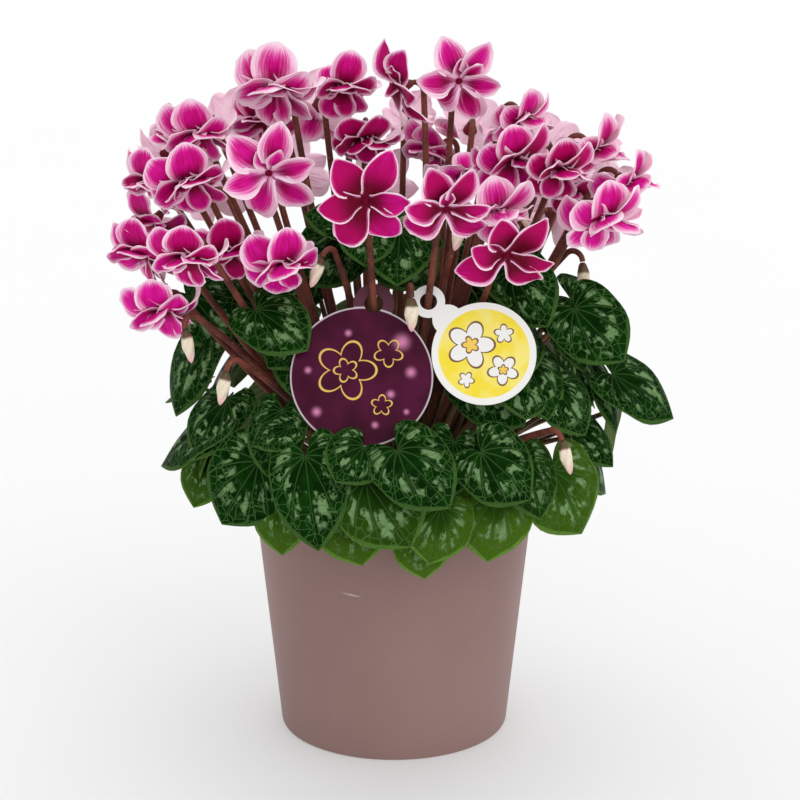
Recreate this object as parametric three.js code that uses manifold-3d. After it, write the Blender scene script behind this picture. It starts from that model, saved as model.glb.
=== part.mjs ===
// A potted double-flowered cyclamen with two hang-tags.
// Millimetres, +Z up, origin at the centre of the pot's underside; the best side faces -Y.
// Everything rests on or grows from what is under it: soil in the pot, corm in the soil,
// a crown of flower stems and a ring of leaf stalks on the corm, a bloom or bud on each stem.

import * as THREE from "three";
import { mergeGeometries, mergeVertices } from "three/addons/utils/BufferGeometryUtils.js";
import Module from "manifold-3d";

const wasm = await Module();
wasm.setup();

// ---------------------------------------------------------------- driving dimensions, mm

const GAP = 0.3; // between pieces that touch

const POT = {
  height: 120,
  baseRadius: 55,
  rimRadius: 67.5,
  wall: 2.4,
  floor: 3,
  foot: 1.5,
  drainRadius: 4,
  drainCircle: 34,
  drains: 4,
  sides: 32,
};
const SOIL = { top: 107, mound: 3, sides: 20 };
const CORM = { radius: 27, flatRadius: 24, bottom: 90, middle: 103, top: 115, sides: 16 };
const CROWN = { radius: 15, bottom: CORM.top + GAP, top: 120, sides: 12 };
const STALK_RING = { inner: 16.5, outer: 24, bottom: CORM.top + GAP, top: 119, sides: 16 };

const STEM = { radius: 1.9, sides: 3, steps: 6, rootZ: 118, rootRadius: 4, rootSpread: 8, hook: 5 };
const BLOOM_STEM = { bow: 8, at: 0.45 };
const BUD_STEM = { bow: -9, at: 0.66 };
const STALK = { radius: 1.3, sides: 3, steps: 2, rootZ: 117, overlap: 3, bed: 0.7, samples: 40 };
const HUB = { length: 6, radius: 3.2, front: -2 };
const PETAL = {
  length: 18.5,
  halfWidth: 8.2,
  widest: 0.6,
  claw: 0.3,
  sector: 0.93,
  thickness: 0.7,
  rootLift: -9,
  twist: 12,
  cup: 0.1,
  easeIn: 0.3,
  sweep: 1.1, // how much more the petals next to the stem fold back
  leastFold: 6,
  foldSpread: 12,
  lengthSpread: 0.07,
  samples: [5, 4],
  reach: 62,
};
const BUD = { radius: 3.6, sides: 5 };
const LEAF = {
  thickness: 0.8,
  lobe: 0.28,
  bow: 0.09,
  curl: 0.16,
  rows: [0, 0.33, 0.68, 1],
  samples: [8, 6],
  reach: 70,
};

// A double bloom: outer petals, and inner ones between them that fold back less.
const OUTER = { lift: 0, fold: 0, size: 1 };
const INNER = { lift: -22, fold: -20, size: 0.84 };
const PETALS = [OUTER, INNER, OUTER, OUTER, INNER, OUTER];
// A bloom that nods leaves room for its own stem between two petals; one that stands up needs less.
const WIDEST_HEAD = 118; // the bloom farthest from the middle
const STEM_ROOM = { nodding: 52, upright: 32, fromDip: 25 };

// Ways to bend a petal clear of its neighbours: added fold in degrees and share of its length.
const PETAL_BENDS = [
  [0, 1], [14, 1], [-14, 1], [28, 0.95], [-26, 0.92], [0, 0.82],
  [24, 0.8], [42, 0.82], [-24, 0.76], [0, 0.66], [30, 0.62], [55, 0.6], [70, 0.4],
];
// Ways to turn a leaf clear: degrees round the pot, lift, share of its size.
const LEAF_TURNS = [1, 0.86, 0.72].flatMap((share) =>
  [0, -4, 4, -8, 8, -14, 14].flatMap((lift) =>
    [0, 3, -3, 6, -6, 10, -10, 14, -14, 20, -20].map((turn) => [turn, lift, share]),
  ),
);
// Ways to lead a leaf stalk clear: degrees round the crown, and how far it arches upward.
const STALK_WAYS = [4, -8, 16, 28, -16].flatMap((arch) =>
  [0, 6, -6, 12, -12, 18, -18, 25, -25, 33, -33, 42, -42, 55, -55, 75, -75].map((turn) => [turn, arch]),
);
const STEM_SAMPLES = { shaftPoints: 36, hookPoints: 6 };
const CLEAR = 2.1; // least distance from a plate's sample points to an obstacle's own surface
const STALK_CLEAR = 1.8; // the same from a stalk's middle line

// Blooms: hub x, y, z; heading of the mouth seen from above (-90 faces the front); how far the
// mouth looks down; how far the petals fold back from it; size.
const BLOOMS = [
  [-49, -62, 243, -80, 51, 53, 1.05],
  [-75, -44, 244, -75, 47, 48, 1.0],
  [-90, -74, 249, -110, 49, 50, 1.0],
  [-113, -34, 241, -140, 39, 33, 1.05],
  [-103, -56, 220, -100, 52, 50, 1.0],
  [-91, -45, 277, -80, 47, 43, 1.1],
  [-108, -18, 270, -150, 44, 43, 1.0],
  [-112, 4, 248, -150, 49, 43, 0.9],
  [-88, -15, 293, -100, 54, 56, 1.05],
  [-100, 17, 285, 150, 44, 43, 0.85],
  [-54, -6, 312, -110, 41, 53, 1.2],
  [-62, 26, 290, -130, 39, 38, 0.9],
  [-55, -59, 284, -90, 12, 18, 1.1],
  [-36, 36, 296, 100, 54, 53, 1.1],
  [-24, 8, 310, -95, 39, 50, 1.0],
  [3, -6, 313, -150, 15, 20, 1.05],
  [30, 0, 315, -80, 15, 22, 1.1],
  [-13, 4, 287, -90, 58, 35, 0.95],
  [-12, -85, 277, -90, 12, 10, 1.1],
  [7, 60, 287, 80, 49, 48, 0.75],
  [23, -84, 273, -80, 25, 18, 1.05],
  [46, -50, 264, -75, 47, 48, 1.05],
  [50, -70, 249, -85, 28, 12, 1.1],
  [54, -28, 283, -70, 47, 50, 1.1],
  [32, -11, 274, -60, 50, 48, 0.95],
  [36, 30, 286, 100, 50, 40, 1.05],
  [20, 34, 275, -140, 39, 33, 0.95],
  [60, 20, 293, -60, 49, 53, 0.9],
  [92, 0, 282, -40, 51, 58, 1.05],
  [75, -30, 279, -80, 47, 46, 1.0],
  [93, -58, 263, -70, 51, 56, 1.15],
  [82, 6, 261, -110, 44, 38, 0.8],
  [106, -16, 270, -30, 47, 48, 0.95],
  [74, 46, 274, 90, 40, 40, 0.9],
  [-74, 50, 285, 100, 40, 40, 1.0],
  [-110, 40, 272, 150, 40, 40, 0.9],
  [-90, 66, 248, 130, 30, 30, 0.95],
  [100, 44, 252, 55, 30, 30, 0.95],
  [46, 70, 256, 80, 30, 30, 1.0],
  [-50, 82, 256, 105, 30, 30, 1.0],
  [-6, 90, 246, 95, 20, 20, 1.0],
  [78, 76, 236, 60, 25, 25, 0.95],
];
const PLUM_STEM = 19; // the stem that carries the plum tag, counted from 1
const YELLOW_STEM = 21;

// Buds: neck x, y, z; tip offset x, y, z; girth.
const BUDS = [
  [-93, -68, 215, 3, -3, -15, 0.9],
  [-79, -28, 244, 2, -2, -12, 0.85],
  [-32, -56, 245, -5, -4, -13, 0.9],
  [8, -70, 230, 0, -3, -15, 1.0],
  [30, -62, 261, -3, -3, -11, 0.85],
  [58, -20, 262, 3, -3, -11, 0.8],
  [86, -36, 238, 1, -3, -18, 0.95],
  [90, -50, 213, 1, -3, -15, 0.9],
  [-74, -80, 199, -3, -3, -15, 0.95],
  [75, -84, 168, 4, -3, -15, 0.9],
];

// Leaves seen from the front: joint x, y, z; tip x, y, z; width; heading and rise of the upper face.
const FRONT_LEAVES = [
  [-61, -75, 155, -78, -71, 124, 40, -105, 20],
  [-80, -52, 167, -108, -38, 141, 32, -150, 50],
  [-87, -27, 142, -94, -30, 118, 26, -120, 25],
  [-92, 12, 167, -110, 12, 157, 24, 170, 50],
  [-84, -22, 198, -97, -38, 160, 34, -130, 15],
  [-50, -46, 210, -67, -54, 196, 26, -105, 45],
  [-42, -84, 173, -58, -88, 166, 20, -95, 60],
  [-18, -92, 168, -31, -102, 155, 28, -95, 40],
  [-39, -92, 163, -33, -107, 124, 34, -95, 8],
  [-51, -78, 142, -50, -85, 114, 30, -115, 10],
  [-20, -86, 136, -14, -93, 112, 34, -90, 18],
  [-12, -96, 153, 8, -105, 125, 42, -85, 20],
  [2, -95, 167, 25, -107, 144, 36, -80, 30],
  [12, -88, 126, 14, -91, 105, 26, -85, 10],
  [21, -92, 139, 16, -99, 115, 32, -85, 12],
  [46, -80, 143, 42, -88, 112, 38, -75, 18],
  [39, -88, 164, 61, -90, 142, 36, -70, 30],
  [27, -80, 166, 21, -94, 143, 26, -80, 20],
  [72, -66, 148, 86, -64, 117, 42, -60, 15],
  [72, -53, 185, 87, -61, 163, 28, -60, 30],
  [82, -42, 163, 101, -48, 144, 24, -50, 35],
  [104, -18, 164, 101, -22, 138, 18, 150, 20],
  [101, -36, 185, 130, -31, 162, 32, -60, 45],
  [91, -24, 187, 103, -38, 157, 22, -30, 15],
  [80, -32, 195, 85, -52, 168, 24, -45, 22],
  [71, -30, 208, 80, -52, 186, 24, -60, 25],
  [82, -20, 217, 109, -15, 196, 30, -50, 40],
  [57, -16, 226, 62, -36, 212, 22, -70, 35],
  [7, -38, 248, 8, -60, 229, 30, -90, 38],
  [-13, -30, 255, -41, -27, 258, 28, -100, 58],
  [-2, -30, 252, 23, -34, 245, 30, -75, 52],
  [-21, -36, 243, -26, -52, 227, 26, -100, 35],
  [33, -72, 188, 30, -91, 175, 28, -80, 32],
  [-33, -54, 216, -38, -74, 192, 30, -105, 25],
  [-8, -66, 186, -12, -80, 162, 30, -95, 20],
  [60, -50, 196, 70, -66, 172, 30, -65, 28],
  [50, -48, 211, 58, -66, 192, 28, -60, 28],
  [-76, -48, 176, -90, -62, 152, 32, -130, 25],
  [-50, -72, 178, -56, -88, 152, 28, -110, 22],
  [58, -72, 156, 66, -82, 130, 30, -60, 20],
  [-21, -15, 246, -42, -26, 225, 34, -90, 25],
  [-4, -34, 250, 18, -44, 228, 34, -90, 25],
  [-80, 26, 207, -60, 22, 183, 34, -65, 25],
  [-95, -3, 214, -76, -13, 193, 34, -100, 28],
  [-42, 40, 219, -62, 30, 197, 34, -90, 25],
  [36, 56, 217, 18, 48, 196, 34, -90, 25],
  [54, -40, 234, 70, -56, 213, 32, -115, 25],
  [-88, 34, 214, -68, 27, 192, 32, -90, 30],
  [37, -59, 192, 59, -69, 170, 34, -90, 25],
  [-61, -57, 221, -38, -71, 206, 32, -90, 45],
  [82, -51, 220, 104, -61, 198, 34, -90, 25],
  [62, -39, 233, 42, -42, 210, 30, -112, 28],
];

// Leaves of the far side, by rule: rows of joints round the back, tips down and outward.
const BACK_ROWS = [
  { count: 8, from: -8, to: 188, radius: 86, z: 150, reach: 12, drop: 32 },
  { count: 8, from: 4, to: 176, radius: 78, z: 184, reach: 16, drop: 28 },
  { count: 7, from: 18, to: 164, radius: 58, z: 208, reach: 20, drop: 22 },
  { count: 3, from: 40, to: 150, radius: 32, z: 228, reach: 26, drop: 12 },
];
const BACK_LEAF = { width: 38, turn: 5, spread: 4, rise: 28 };
const SEED = 11;
const PETAL_SEED = 5;

// Each tag is a disc with a ring; a shoulder joins them where they don't overlap.
const PLUM_TAG = {
  radius: 32, ring: 9.2, hole: 4.3, toRing: 34, turn: -9, shoulder: 8,
};
const YELLOW_TAG = {
  radius: 23.5, ring: 7.5, hole: 3.9, toRing: 34.5, turn: 46, shoulder: 7,
};
const TAG = { ringZ: 224.5, lean: 28, thickness: 0.8 };

const COLOURS = {
  pot: 0x8f736e,
  soil: 0x3a2a20,
  corm: 0x5c4130,
  stem: 0x6b3a2e,
  leaf: 0x1f4a2a,
  bloom: 0xc0146c,
  bud: 0xeadfc4,
  plum: 0x471a38,
  yellow: 0xf2dc3a,
};

// ---------------------------------------------------------------- small tools

const vec = (x, y, z) => new THREE.Vector3(x, y, z);
const rad = THREE.MathUtils.degToRad;
const material = (color, roughness) =>
  new THREE.MeshStandardMaterial({ color, roughness, metalness: 0 });

// A unit vector from a compass heading (0 along +X, 90 along +Y) and a rise above level.
const direction = (heading, rise) =>
  vec(
    Math.cos(rad(rise)) * Math.cos(rad(heading)),
    Math.cos(rad(rise)) * Math.sin(rad(heading)),
    Math.sin(rad(rise)),
  );

// The part of a vector square to an axis, at unit length.
const squareTo = (v, axis) => v.clone().addScaledVector(axis, -v.dot(axis)).normalize();

// A closed geometry as a solid: only positions, shared corners merged, flat triangles dropped.
function solid(geometry) {
  const bare = new THREE.BufferGeometry().setAttribute("position", geometry.getAttribute("position"));
  if (geometry.index) bare.setIndex(geometry.index);
  const merged = mergeVertices(bare, 1e-3);
  const corners = merged.index.array;
  const kept = [];
  for (let i = 0; i < corners.length; i += 3) {
    const [a, b, c] = corners.slice(i, i + 3);
    if (a !== b && b !== c && c !== a) kept.push(a, b, c);
  }
  return new wasm.Manifold(
    new wasm.Mesh({
      numProp: 3,
      vertProperties: merged.getAttribute("position").array,
      triVerts: new Uint32Array(kept),
    }),
  );
}

// A geometry without the triangles that a test picks by their corners' numbers.
function withoutTriangles(geometry, picked) {
  const corners = geometry.index.array;
  const kept = [];
  for (let i = 0; i < corners.length; i += 3) {
    const triangle = corners.slice(i, i + 3);
    if (!picked(...triangle)) kept.push(...triangle);
  }
  return geometry.setIndex(kept);
}

function geometryOf(body) {
  const made = body.getMesh();
  return new THREE.BufferGeometry()
    .setAttribute("position", new THREE.BufferAttribute(made.vertProperties, made.numProp))
    .setIndex(new THREE.BufferAttribute(made.triVerts, 1));
}

const join = (bodies) => bodies.reduce((whole, body) => whole.add(body));

// The largest body, without loose scraps.
const largest = (body) => body.decompose().sort((a, b) => b.volume() - a.volume())[0];

const turned = (points, sides) =>
  new THREE.LatheGeometry(points.map(([r, z]) => new THREE.Vector2(r, z)), sides).rotateX(Math.PI / 2);

// A thin plate bent by a formula: corner(s, w, side) gives a point of it, with s from 0 to 1
// along it, w from -1 to 1 across it, and side -1 or 1 for its two faces.
function bentPlate(corner, across, rows) {
  const last = rows.length - 1;
  const plate = new THREE.BoxGeometry(last, 2, 2, last, across, 1);
  const place = plate.getAttribute("position");
  for (let i = 0; i < place.count; i++) {
    const s = rows[Math.round(place.getX(i) + last / 2)];
    const { x, y, z } = corner(s, place.getY(i), place.getZ(i));
    place.setXYZ(i, x, y, z);
  }
  return plate;
}

// Repeatable random numbers.
function seeded(seed) {
  let state = seed;
  return () => {
    state = (state * 48271) % 2147483647;
    return state / 2147483647;
  };
}

// A stem: a shaft that bows to one side, then an arc over to what it carries.
class HookedCurve extends THREE.Curve {
  constructor(root, bow, end, entry) {
    super();
    this.rise = end.clone().sub(bow).normalize();
    this.over = squareTo(entry, this.rise);
    this.turn = this.rise.angleTo(entry);
    const start = end
      .clone()
      .addScaledVector(this.rise, -STEM.hook * Math.sin(this.turn))
      .addScaledVector(this.over, STEM.hook * (Math.cos(this.turn) - 1));
    this.centre = start.clone().addScaledVector(this.over, STEM.hook);
    const bend = start.clone().addScaledVector(this.rise, -start.distanceTo(bow));
    this.shaft = new THREE.QuadraticBezierCurve3(root, bend, start);
  }
  getPoint(t, target = vec(0, 0, 0)) {
    if (t < 0.5) return this.shaft.getPoint(2 * t, target);
    const angle = this.turn * (2 * t - 1);
    return target
      .copy(this.centre)
      .addScaledVector(this.rise, STEM.hook * Math.sin(angle))
      .addScaledVector(this.over, -STEM.hook * Math.cos(angle));
  }
  // Half the steps go to the shaft and half to the arc.
  getUtoTmapping(u) {
    return u;
  }
}

function tube(curve, radius, sides, steps) {
  const section = new THREE.Shape(
    Array.from({ length: sides }, (_, i) => {
      const angle = (2 * Math.PI * i) / sides;
      return new THREE.Vector2(radius * Math.cos(angle), radius * Math.sin(angle));
    }),
  );
  return solid(new THREE.ExtrudeGeometry(section, { steps, extrudePath: curve, bevelEnabled: false }));
}

// ---------------------------------------------------------------- keeping pieces apart

const obstacles = []; // { at, radius } of everything placed so far

function isClear(points, others, clearance = CLEAR) {
  return points.every((p) =>
    others.every((o) => p.distanceToSquared(o.at) > (clearance + o.radius) ** 2),
  );
}

const nearTo = (point, reach) => obstacles.filter((o) => point.distanceTo(o.at) < reach);

// ---------------------------------------------------------------- pot, soil, corm

const outerRadius = (z) => POT.baseRadius + ((POT.rimRadius - POT.baseRadius) * z) / POT.height;
const innerRadius = (z) => outerRadius(z) - POT.wall;

function potGeometry() {
  const body = solid(
    turned(
      [
        [0, 0],
        [POT.baseRadius - POT.foot, 0],
        [outerRadius(POT.foot), POT.foot],
        [outerRadius(POT.height - 1), POT.height - 1],
        [outerRadius(POT.height) - 0.7, POT.height],
        [innerRadius(POT.height) + 0.5, POT.height],
        [innerRadius(POT.height - 1), POT.height - 1],
        [innerRadius(POT.floor), POT.floor],
        [0, POT.floor],
      ],
      POT.sides,
    ),
  );
  const drains = Array.from({ length: POT.drains }, (_, i) => {
    const angle = (2 * Math.PI * (i + 0.5)) / POT.drains;
    const drill = new THREE.CylinderGeometry(POT.drainRadius, POT.drainRadius, 3 * POT.floor, 8)
      .rotateX(Math.PI / 2)
      .translate(POT.drainCircle * Math.cos(angle), POT.drainCircle * Math.sin(angle), POT.floor / 2);
    return solid(drill);
  });
  return geometryOf(drains.reduce((pot, drill) => pot.subtract(drill), body));
}

// The corm's side as [radius, z] points, from its underside to its flat top.
const cormProfile = (grow) => [
  [0, CORM.bottom - grow],
  [CORM.radius * 0.6, CORM.bottom + 2 - grow],
  [CORM.radius + grow, CORM.middle],
  [CORM.flatRadius + grow, CORM.top + grow],
  [0, CORM.top + grow],
];

function soilGeometry() {
  const bottom = POT.floor + GAP;
  const block = solid(
    turned(
      [
        [0, bottom],
        [innerRadius(bottom) - GAP - 0.2, bottom],
        [innerRadius(SOIL.top) - GAP - 0.2, SOIL.top],
        [CORM.radius + 8, SOIL.top + SOIL.mound],
        [0, SOIL.top + SOIL.mound],
      ],
      SOIL.sides,
    ),
  );
  const bed = solid(turned(cormProfile(GAP), CORM.sides));
  const shaft = new THREE.CylinderGeometry(CORM.radius + GAP, CORM.radius + GAP, 20, CORM.sides)
    .rotateX(Math.PI / 2)
    .translate(0, 0, CORM.middle + 10);
  return geometryOf(block.subtract(bed).subtract(solid(shaft)));
}

// ---------------------------------------------------------------- stems and blooms

// Where a stem leaves the crown, on the side of what it carries.
function stemRoot(head) {
  const away = Math.hypot(head.x, head.y);
  const r = STEM.rootRadius + (STEM.rootSpread * away) / WIDEST_HEAD;
  return vec((r * head.x) / away, (r * head.y) / away, STEM.rootZ);
}

// A stem rises, bowed outward by bow at a share of its height, and enters its head along its axis.
function stemCurve(neck, axis, { bow, at }) {
  const root = stemRoot(neck);
  const way = neck.clone().sub(root);
  const outward = vec(way.x, way.y, 0).normalize();
  const bend = root.clone().addScaledVector(way, at).addScaledVector(outward, bow);
  return new HookedCurve(root, bend, neck.clone().addScaledVector(axis, GAP), axis.clone().negate());
}

const petalRandom = seeded(PETAL_SEED);

// A bloom's own frame: its hub, its axis (away from the mouth), and the side its stem comes from.
function bloomFrame([x, y, z, heading, dip, fold, size]) {
  const hub = vec(x, y, z);
  const axis = direction(heading, -dip).negate();
  const neck = hub.clone().addScaledVector(axis, HUB.length);
  const stem = stemCurve(neck, axis, BLOOM_STEM);
  const side = squareTo(stem.shaft.v0.clone().sub(hub), axis);
  const across = axis.clone().cross(side);
  const spreads = PETALS.map(() => [2 * petalRandom() - 1, 2 * petalRandom() - 1]);
  return { hub, axis, side, across, stem, fold, size, dip, spreads };
}

// Half the width of a petal as a share of its widest: a claw that opens to a round blade.
function petalWidth(s) {
  const open = Math.min(1, s / PETAL.widest);
  const tip = Math.max(0, (s - PETAL.widest) / (1 - PETAL.widest));
  return (PETAL.claw + (1 - PETAL.claw) * open * open * (3 - 2 * open)) * Math.sqrt(1 - 0.7 * tip ** 2.4);
}

// A petal leaves the hub square to the axis, then folds back and twists a little on its way out.
// It keeps to its own sector round the axis, so it never crosses its neighbours.
function petalCorner(bloom, index, [addedFold, share]) {
  const petal = PETALS[index];
  const room = bloom.dip >= STEM_ROOM.fromDip ? STEM_ROOM.nodding : STEM_ROOM.upright;
  const spacing = (360 - 2 * room) / (PETALS.length - 1);
  const sector = PETAL.sector * Math.tan(rad(spacing / 2));
  const angle = rad(room + index * spacing);
  const outward = bloom.side
    .clone()
    .multiplyScalar(Math.cos(angle))
    .addScaledVector(bloom.across, Math.sin(angle));
  const around = bloom.axis.clone().cross(outward);
  const spread = bloom.spreads[index];
  const length = PETAL.length * bloom.size * petal.size * share * (1 + spread[1] * PETAL.lengthSpread);
  const half = PETAL.halfWidth * bloom.size * petal.size * Math.sqrt(share);
  const lift = rad(PETAL.rootLift + petal.lift);
  const sweep = (PETAL.sweep * bloom.fold * (1 + Math.cos(angle))) / 2;
  const fold = bloom.fold + petal.fold + sweep + spread[0] * PETAL.foldSpread + addedFold;
  const bend = rad(Math.max(PETAL.leastFold, fold)) - lift;
  return (s, w, side) => {
    const ease = Math.min(1, s / PETAL.easeIn);
    const twist = rad(PETAL.twist) * ease;
    const tilt = (lift + bend * s) * ease;
    const out = HUB.radius + (length * (Math.sin(lift + bend * s) - Math.sin(lift))) / bend;
    const back = (length * (Math.cos(lift) - Math.cos(lift + bend * s))) / bend;
    const wide = Math.min(half * petalWidth(s), sector * out);
    const thick = (side * PETAL.thickness) / 2;
    const across = w * wide * Math.cos(twist) - thick * Math.sin(twist);
    const cup = PETAL.cup * wide * w * w * ease;
    const raised = w * wide * Math.sin(twist) - cup + thick * Math.cos(twist);
    return bloom.hub
      .clone()
      .addScaledVector(outward, out - raised * Math.sin(tilt))
      .addScaledVector(bloom.axis, back + raised * Math.cos(tilt))
      .addScaledVector(around, across);
  };
}

// Points all over the middle of a plate.
function samples(corner, along, across) {
  const points = [];
  for (let i = 0; i <= along; i++) {
    for (let j = 0; j <= across; j++) {
      points.push(corner(i / along, (2 * j) / across - 1, 0));
    }
  }
  return points;
}

// The hub: a cone to the stem and a shallow one to the mouth, its rim cut to the petals' roots.
// The rim stays open where a petal is joined on.
function hubShell(bloom, corners) {
  const profile = [
    [0, HUB.front],
    [HUB.radius, -1],
    [HUB.radius, 1],
    [0, HUB.length],
  ];
  const basis = new THREE.Matrix4().makeBasis(bloom.side, bloom.across, bloom.axis);
  const hub = turned(profile, 2 * corners.length).applyMatrix4(basis.setPosition(bloom.hub));
  const place = hub.getAttribute("position");
  for (let i = 0; i < place.count; i++) {
    const ring = i % profile.length;
    if (ring === 0 || ring === profile.length - 1) continue;
    const turn = Math.floor(i / profile.length) % (2 * corners.length);
    const { x, y, z } = corners[Math.floor(turn / 2)](0, turn % 2 ? 1 : -1, ring === 1 ? -1 : 1);
    place.setXYZ(i, x, y, z);
  }
  const roots = (a, b, c) =>
    [a, b, c].every((i) => i % profile.length === 1 || i % profile.length === 2) &&
    Math.floor(Math.min(a, b, c) / profile.length) % 2 === 0;
  return withoutTriangles(hub, roots);
}

// A petal as a thin plate, open at the end that joins the hub.
function petalShell(corner) {
  const plate = bentPlate(corner, 1, [0, PETAL.widest, 1]);
  const { start, count } = plate.groups[1];
  const index = Array.from(plate.index.array);
  index.splice(start, count);
  return plate.setIndex(index);
}

// Every petal takes the first bend that keeps it clear of stems and of the other blooms.
function bloomSolid(bloom, owner) {
  const others = nearTo(bloom.hub, PETAL.reach).filter((o) => o.owner !== owner || !o.nearHead);
  const corners = PETALS.map((_, index) => {
    const ways = PETAL_BENDS.map((bend) => petalCorner(bloom, index, bend));
    const clear = ways.findIndex((corner) => isClear(samples(corner, ...PETAL.samples), others));
    return ways.at(clear);
  });
  for (const corner of corners) {
    const points = samples(corner, ...PETAL.samples);
    obstacles.push(...points.map((at) => ({ at, radius: PETAL.thickness, owner })));
  }
  return solid(mergeGeometries([hubShell(bloom, corners), ...corners.map(petalShell)]));
}

function stemObstacles(curve, owner) {
  const { shaftPoints, hookPoints } = STEM_SAMPLES;
  for (let i = 0; i < shaftPoints; i++) {
    obstacles.push({ at: curve.getPoint(i / (2 * shaftPoints)), radius: STEM.radius, owner });
  }
  for (let i = 0; i <= hookPoints; i++) {
    const t = (1 + i / hookPoints) / 2;
    obstacles.push({ at: curve.getPoint(t), radius: STEM.radius, owner, nearHead: t > 0.75 });
  }
}

// ---------------------------------------------------------------- buds

function budParts([x, y, z, dx, dy, dz, girth]) {
  const neck = vec(x, y, z);
  const reach = vec(dx, dy, dz);
  const axis = reach.clone().normalize().negate();
  return { neck, axis, length: reach.length(), girth, stem: stemCurve(neck, axis, BUD_STEM) };
}

function budSolid(bud) {
  const r = BUD.radius * bud.girth;
  const profile = [
    [0, 0],
    [r * 0.55, 0],
    [r * 0.95, -bud.length * 0.25],
    [r, -bud.length * 0.5],
    [r * 0.55, -bud.length * 0.82],
    [0, -bud.length],
  ].reverse();
  const side = squareTo(vec(1, 0, 0), bud.axis);
  const across = bud.axis.clone().cross(side);
  const basis = new THREE.Matrix4().makeBasis(side, across, bud.axis).setPosition(bud.neck);
  return solid(turned(profile, BUD.sides).applyMatrix4(basis));
}

// ---------------------------------------------------------------- hang-tags

// A tag hangs by its ring from a stem and leans out on the leaves below it.
function tagParts(stem, tag) {
  let share = 0;
  while (stem.getPoint(share).z < TAG.ringZ) share += 0.002;
  const face = direction(-90, TAG.lean);
  const up = direction(90, 90 - TAG.lean);
  const toRing = up.clone().applyAxisAngle(face, rad(tag.turn));
  // The stem lies against the upper edge of the ring's hole.
  const slack = tag.hole - STEM.radius / Math.abs(stem.getTangent(share).dot(face)) - 2 * GAP;
  const ring = stem.getPoint(share).addScaledVector(up, -slack);
  const centre = ring.clone().addScaledVector(toRing, -tag.toRing);
  return { ring, centre, face, up, right: up.clone().cross(face) };
}

function tagSolid(tag, { ring, centre, face, up, right }) {
  const basis = new THREE.Matrix4().makeBasis(right, up, face);
  const disc = (at, radius, thickness, sides) =>
    solid(
      new THREE.CylinderGeometry(radius, radius, thickness, sides)
        .rotateX(Math.PI / 2)
        .applyMatrix4(basis.clone().setPosition(at)),
    );
  return disc(centre, tag.radius, TAG.thickness, 24)
    .add(disc(ring.clone().lerp(centre, 0.35), tag.shoulder, TAG.thickness, 10))
    .add(disc(ring, tag.ring, TAG.thickness, 12))
    .subtract(disc(ring, tag.hole, 3 * TAG.thickness, 8));
}

function tagObstacles(tag, { centre, up, right, ring }) {
  const pitch = 4;
  for (let u = -tag.radius; u <= tag.radius; u += pitch) {
    for (let v = -tag.radius; v <= tag.radius; v += pitch) {
      if (Math.hypot(u, v) > tag.radius) continue;
      const at = centre.clone().addScaledVector(right, u).addScaledVector(up, v);
      obstacles.push({ at, radius: TAG.thickness });
    }
  }
  obstacles.push({ at: ring, radius: tag.ring });
}

// ---------------------------------------------------------------- leaves

// Half the width of a heart-shaped blade as a share of its widest.
function leafWidth(s) {
  if (s < 0.33) return 0.62 + 0.38 * Math.sin(((Math.PI / 2) * s) / 0.33);
  return Math.cos((Math.PI / 2) * ((s - 0.33) / 0.67) ** 1.7);
}

function leafShape([jx, jy, jz, tx, ty, tz, width, heading, rise], [turn, lift, share]) {
  const z = vec(0, 0, 1);
  const joint = vec(jx, jy, jz + lift).applyAxisAngle(z, rad(turn));
  const reach = vec(tx - jx, ty - jy, tz - jz).multiplyScalar(share).applyAxisAngle(z, rad(turn));
  const along = reach.clone().normalize();
  const face = squareTo(direction(heading + turn, rise), along);
  const side = face.clone().cross(along);
  const long = reach.length();
  const half = (width * share) / 2;
  const corner = (s, w, upper) => {
    const wide = half * leafWidth(s);
    const arch = LEAF.bow * long * Math.sin(Math.PI * s) - LEAF.curl * wide * w * w;
    return joint
      .clone()
      .addScaledVector(along, long * (s - LEAF.lobe * Math.abs(w) * (1 - s)))
      .addScaledVector(side, w * wide)
      .addScaledVector(face, arch + (upper * LEAF.thickness) / 2);
  };
  return { joint, along, face, corner };
}

function stalkCurve(leaf, [turn, arch]) {
  const away = Math.atan2(leaf.joint.y, leaf.joint.x) + rad(turn);
  const ringMiddle = (STALK_RING.inner + STALK_RING.outer) / 2;
  const root = vec(ringMiddle * Math.cos(away), ringMiddle * Math.sin(away), STALK.rootZ);
  const end = leaf.joint
    .clone()
    .addScaledVector(leaf.along, STALK.overlap)
    .addScaledVector(leaf.face, -STALK.bed);
  const way = end.clone().sub(root);
  return new THREE.CubicBezierCurve3(
    root,
    root.clone().addScaledVector(way, 0.35).add(vec(0, 0, arch)),
    end.clone().addScaledVector(leaf.face, -8).addScaledVector(leaf.along, -10),
    end,
  );
}

// Rows of leaves round the far side, each a little turned and shifted at random.
function backLeaves() {
  const random = seeded(SEED);
  const jitter = (range) => (2 * random() - 1) * range;
  return BACK_ROWS.flatMap((row) =>
    Array.from({ length: row.count }, (_, i) => {
      const at = rad(row.from + ((row.to - row.from) * i) / (row.count - 1) + jitter(BACK_LEAF.turn));
      const out = row.radius + jitter(BACK_LEAF.spread);
      const z = row.z + jitter(BACK_LEAF.spread);
      const end = at + rad(jitter(2 * BACK_LEAF.turn));
      const tip = out + row.reach;
      return [
        out * Math.cos(at), out * Math.sin(at), z,
        tip * Math.cos(end), tip * Math.sin(end), z - row.drop,
        BACK_LEAF.width + jitter(BACK_LEAF.spread), THREE.MathUtils.radToDeg(at), BACK_LEAF.rise,
      ];
    }),
  );
}

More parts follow.
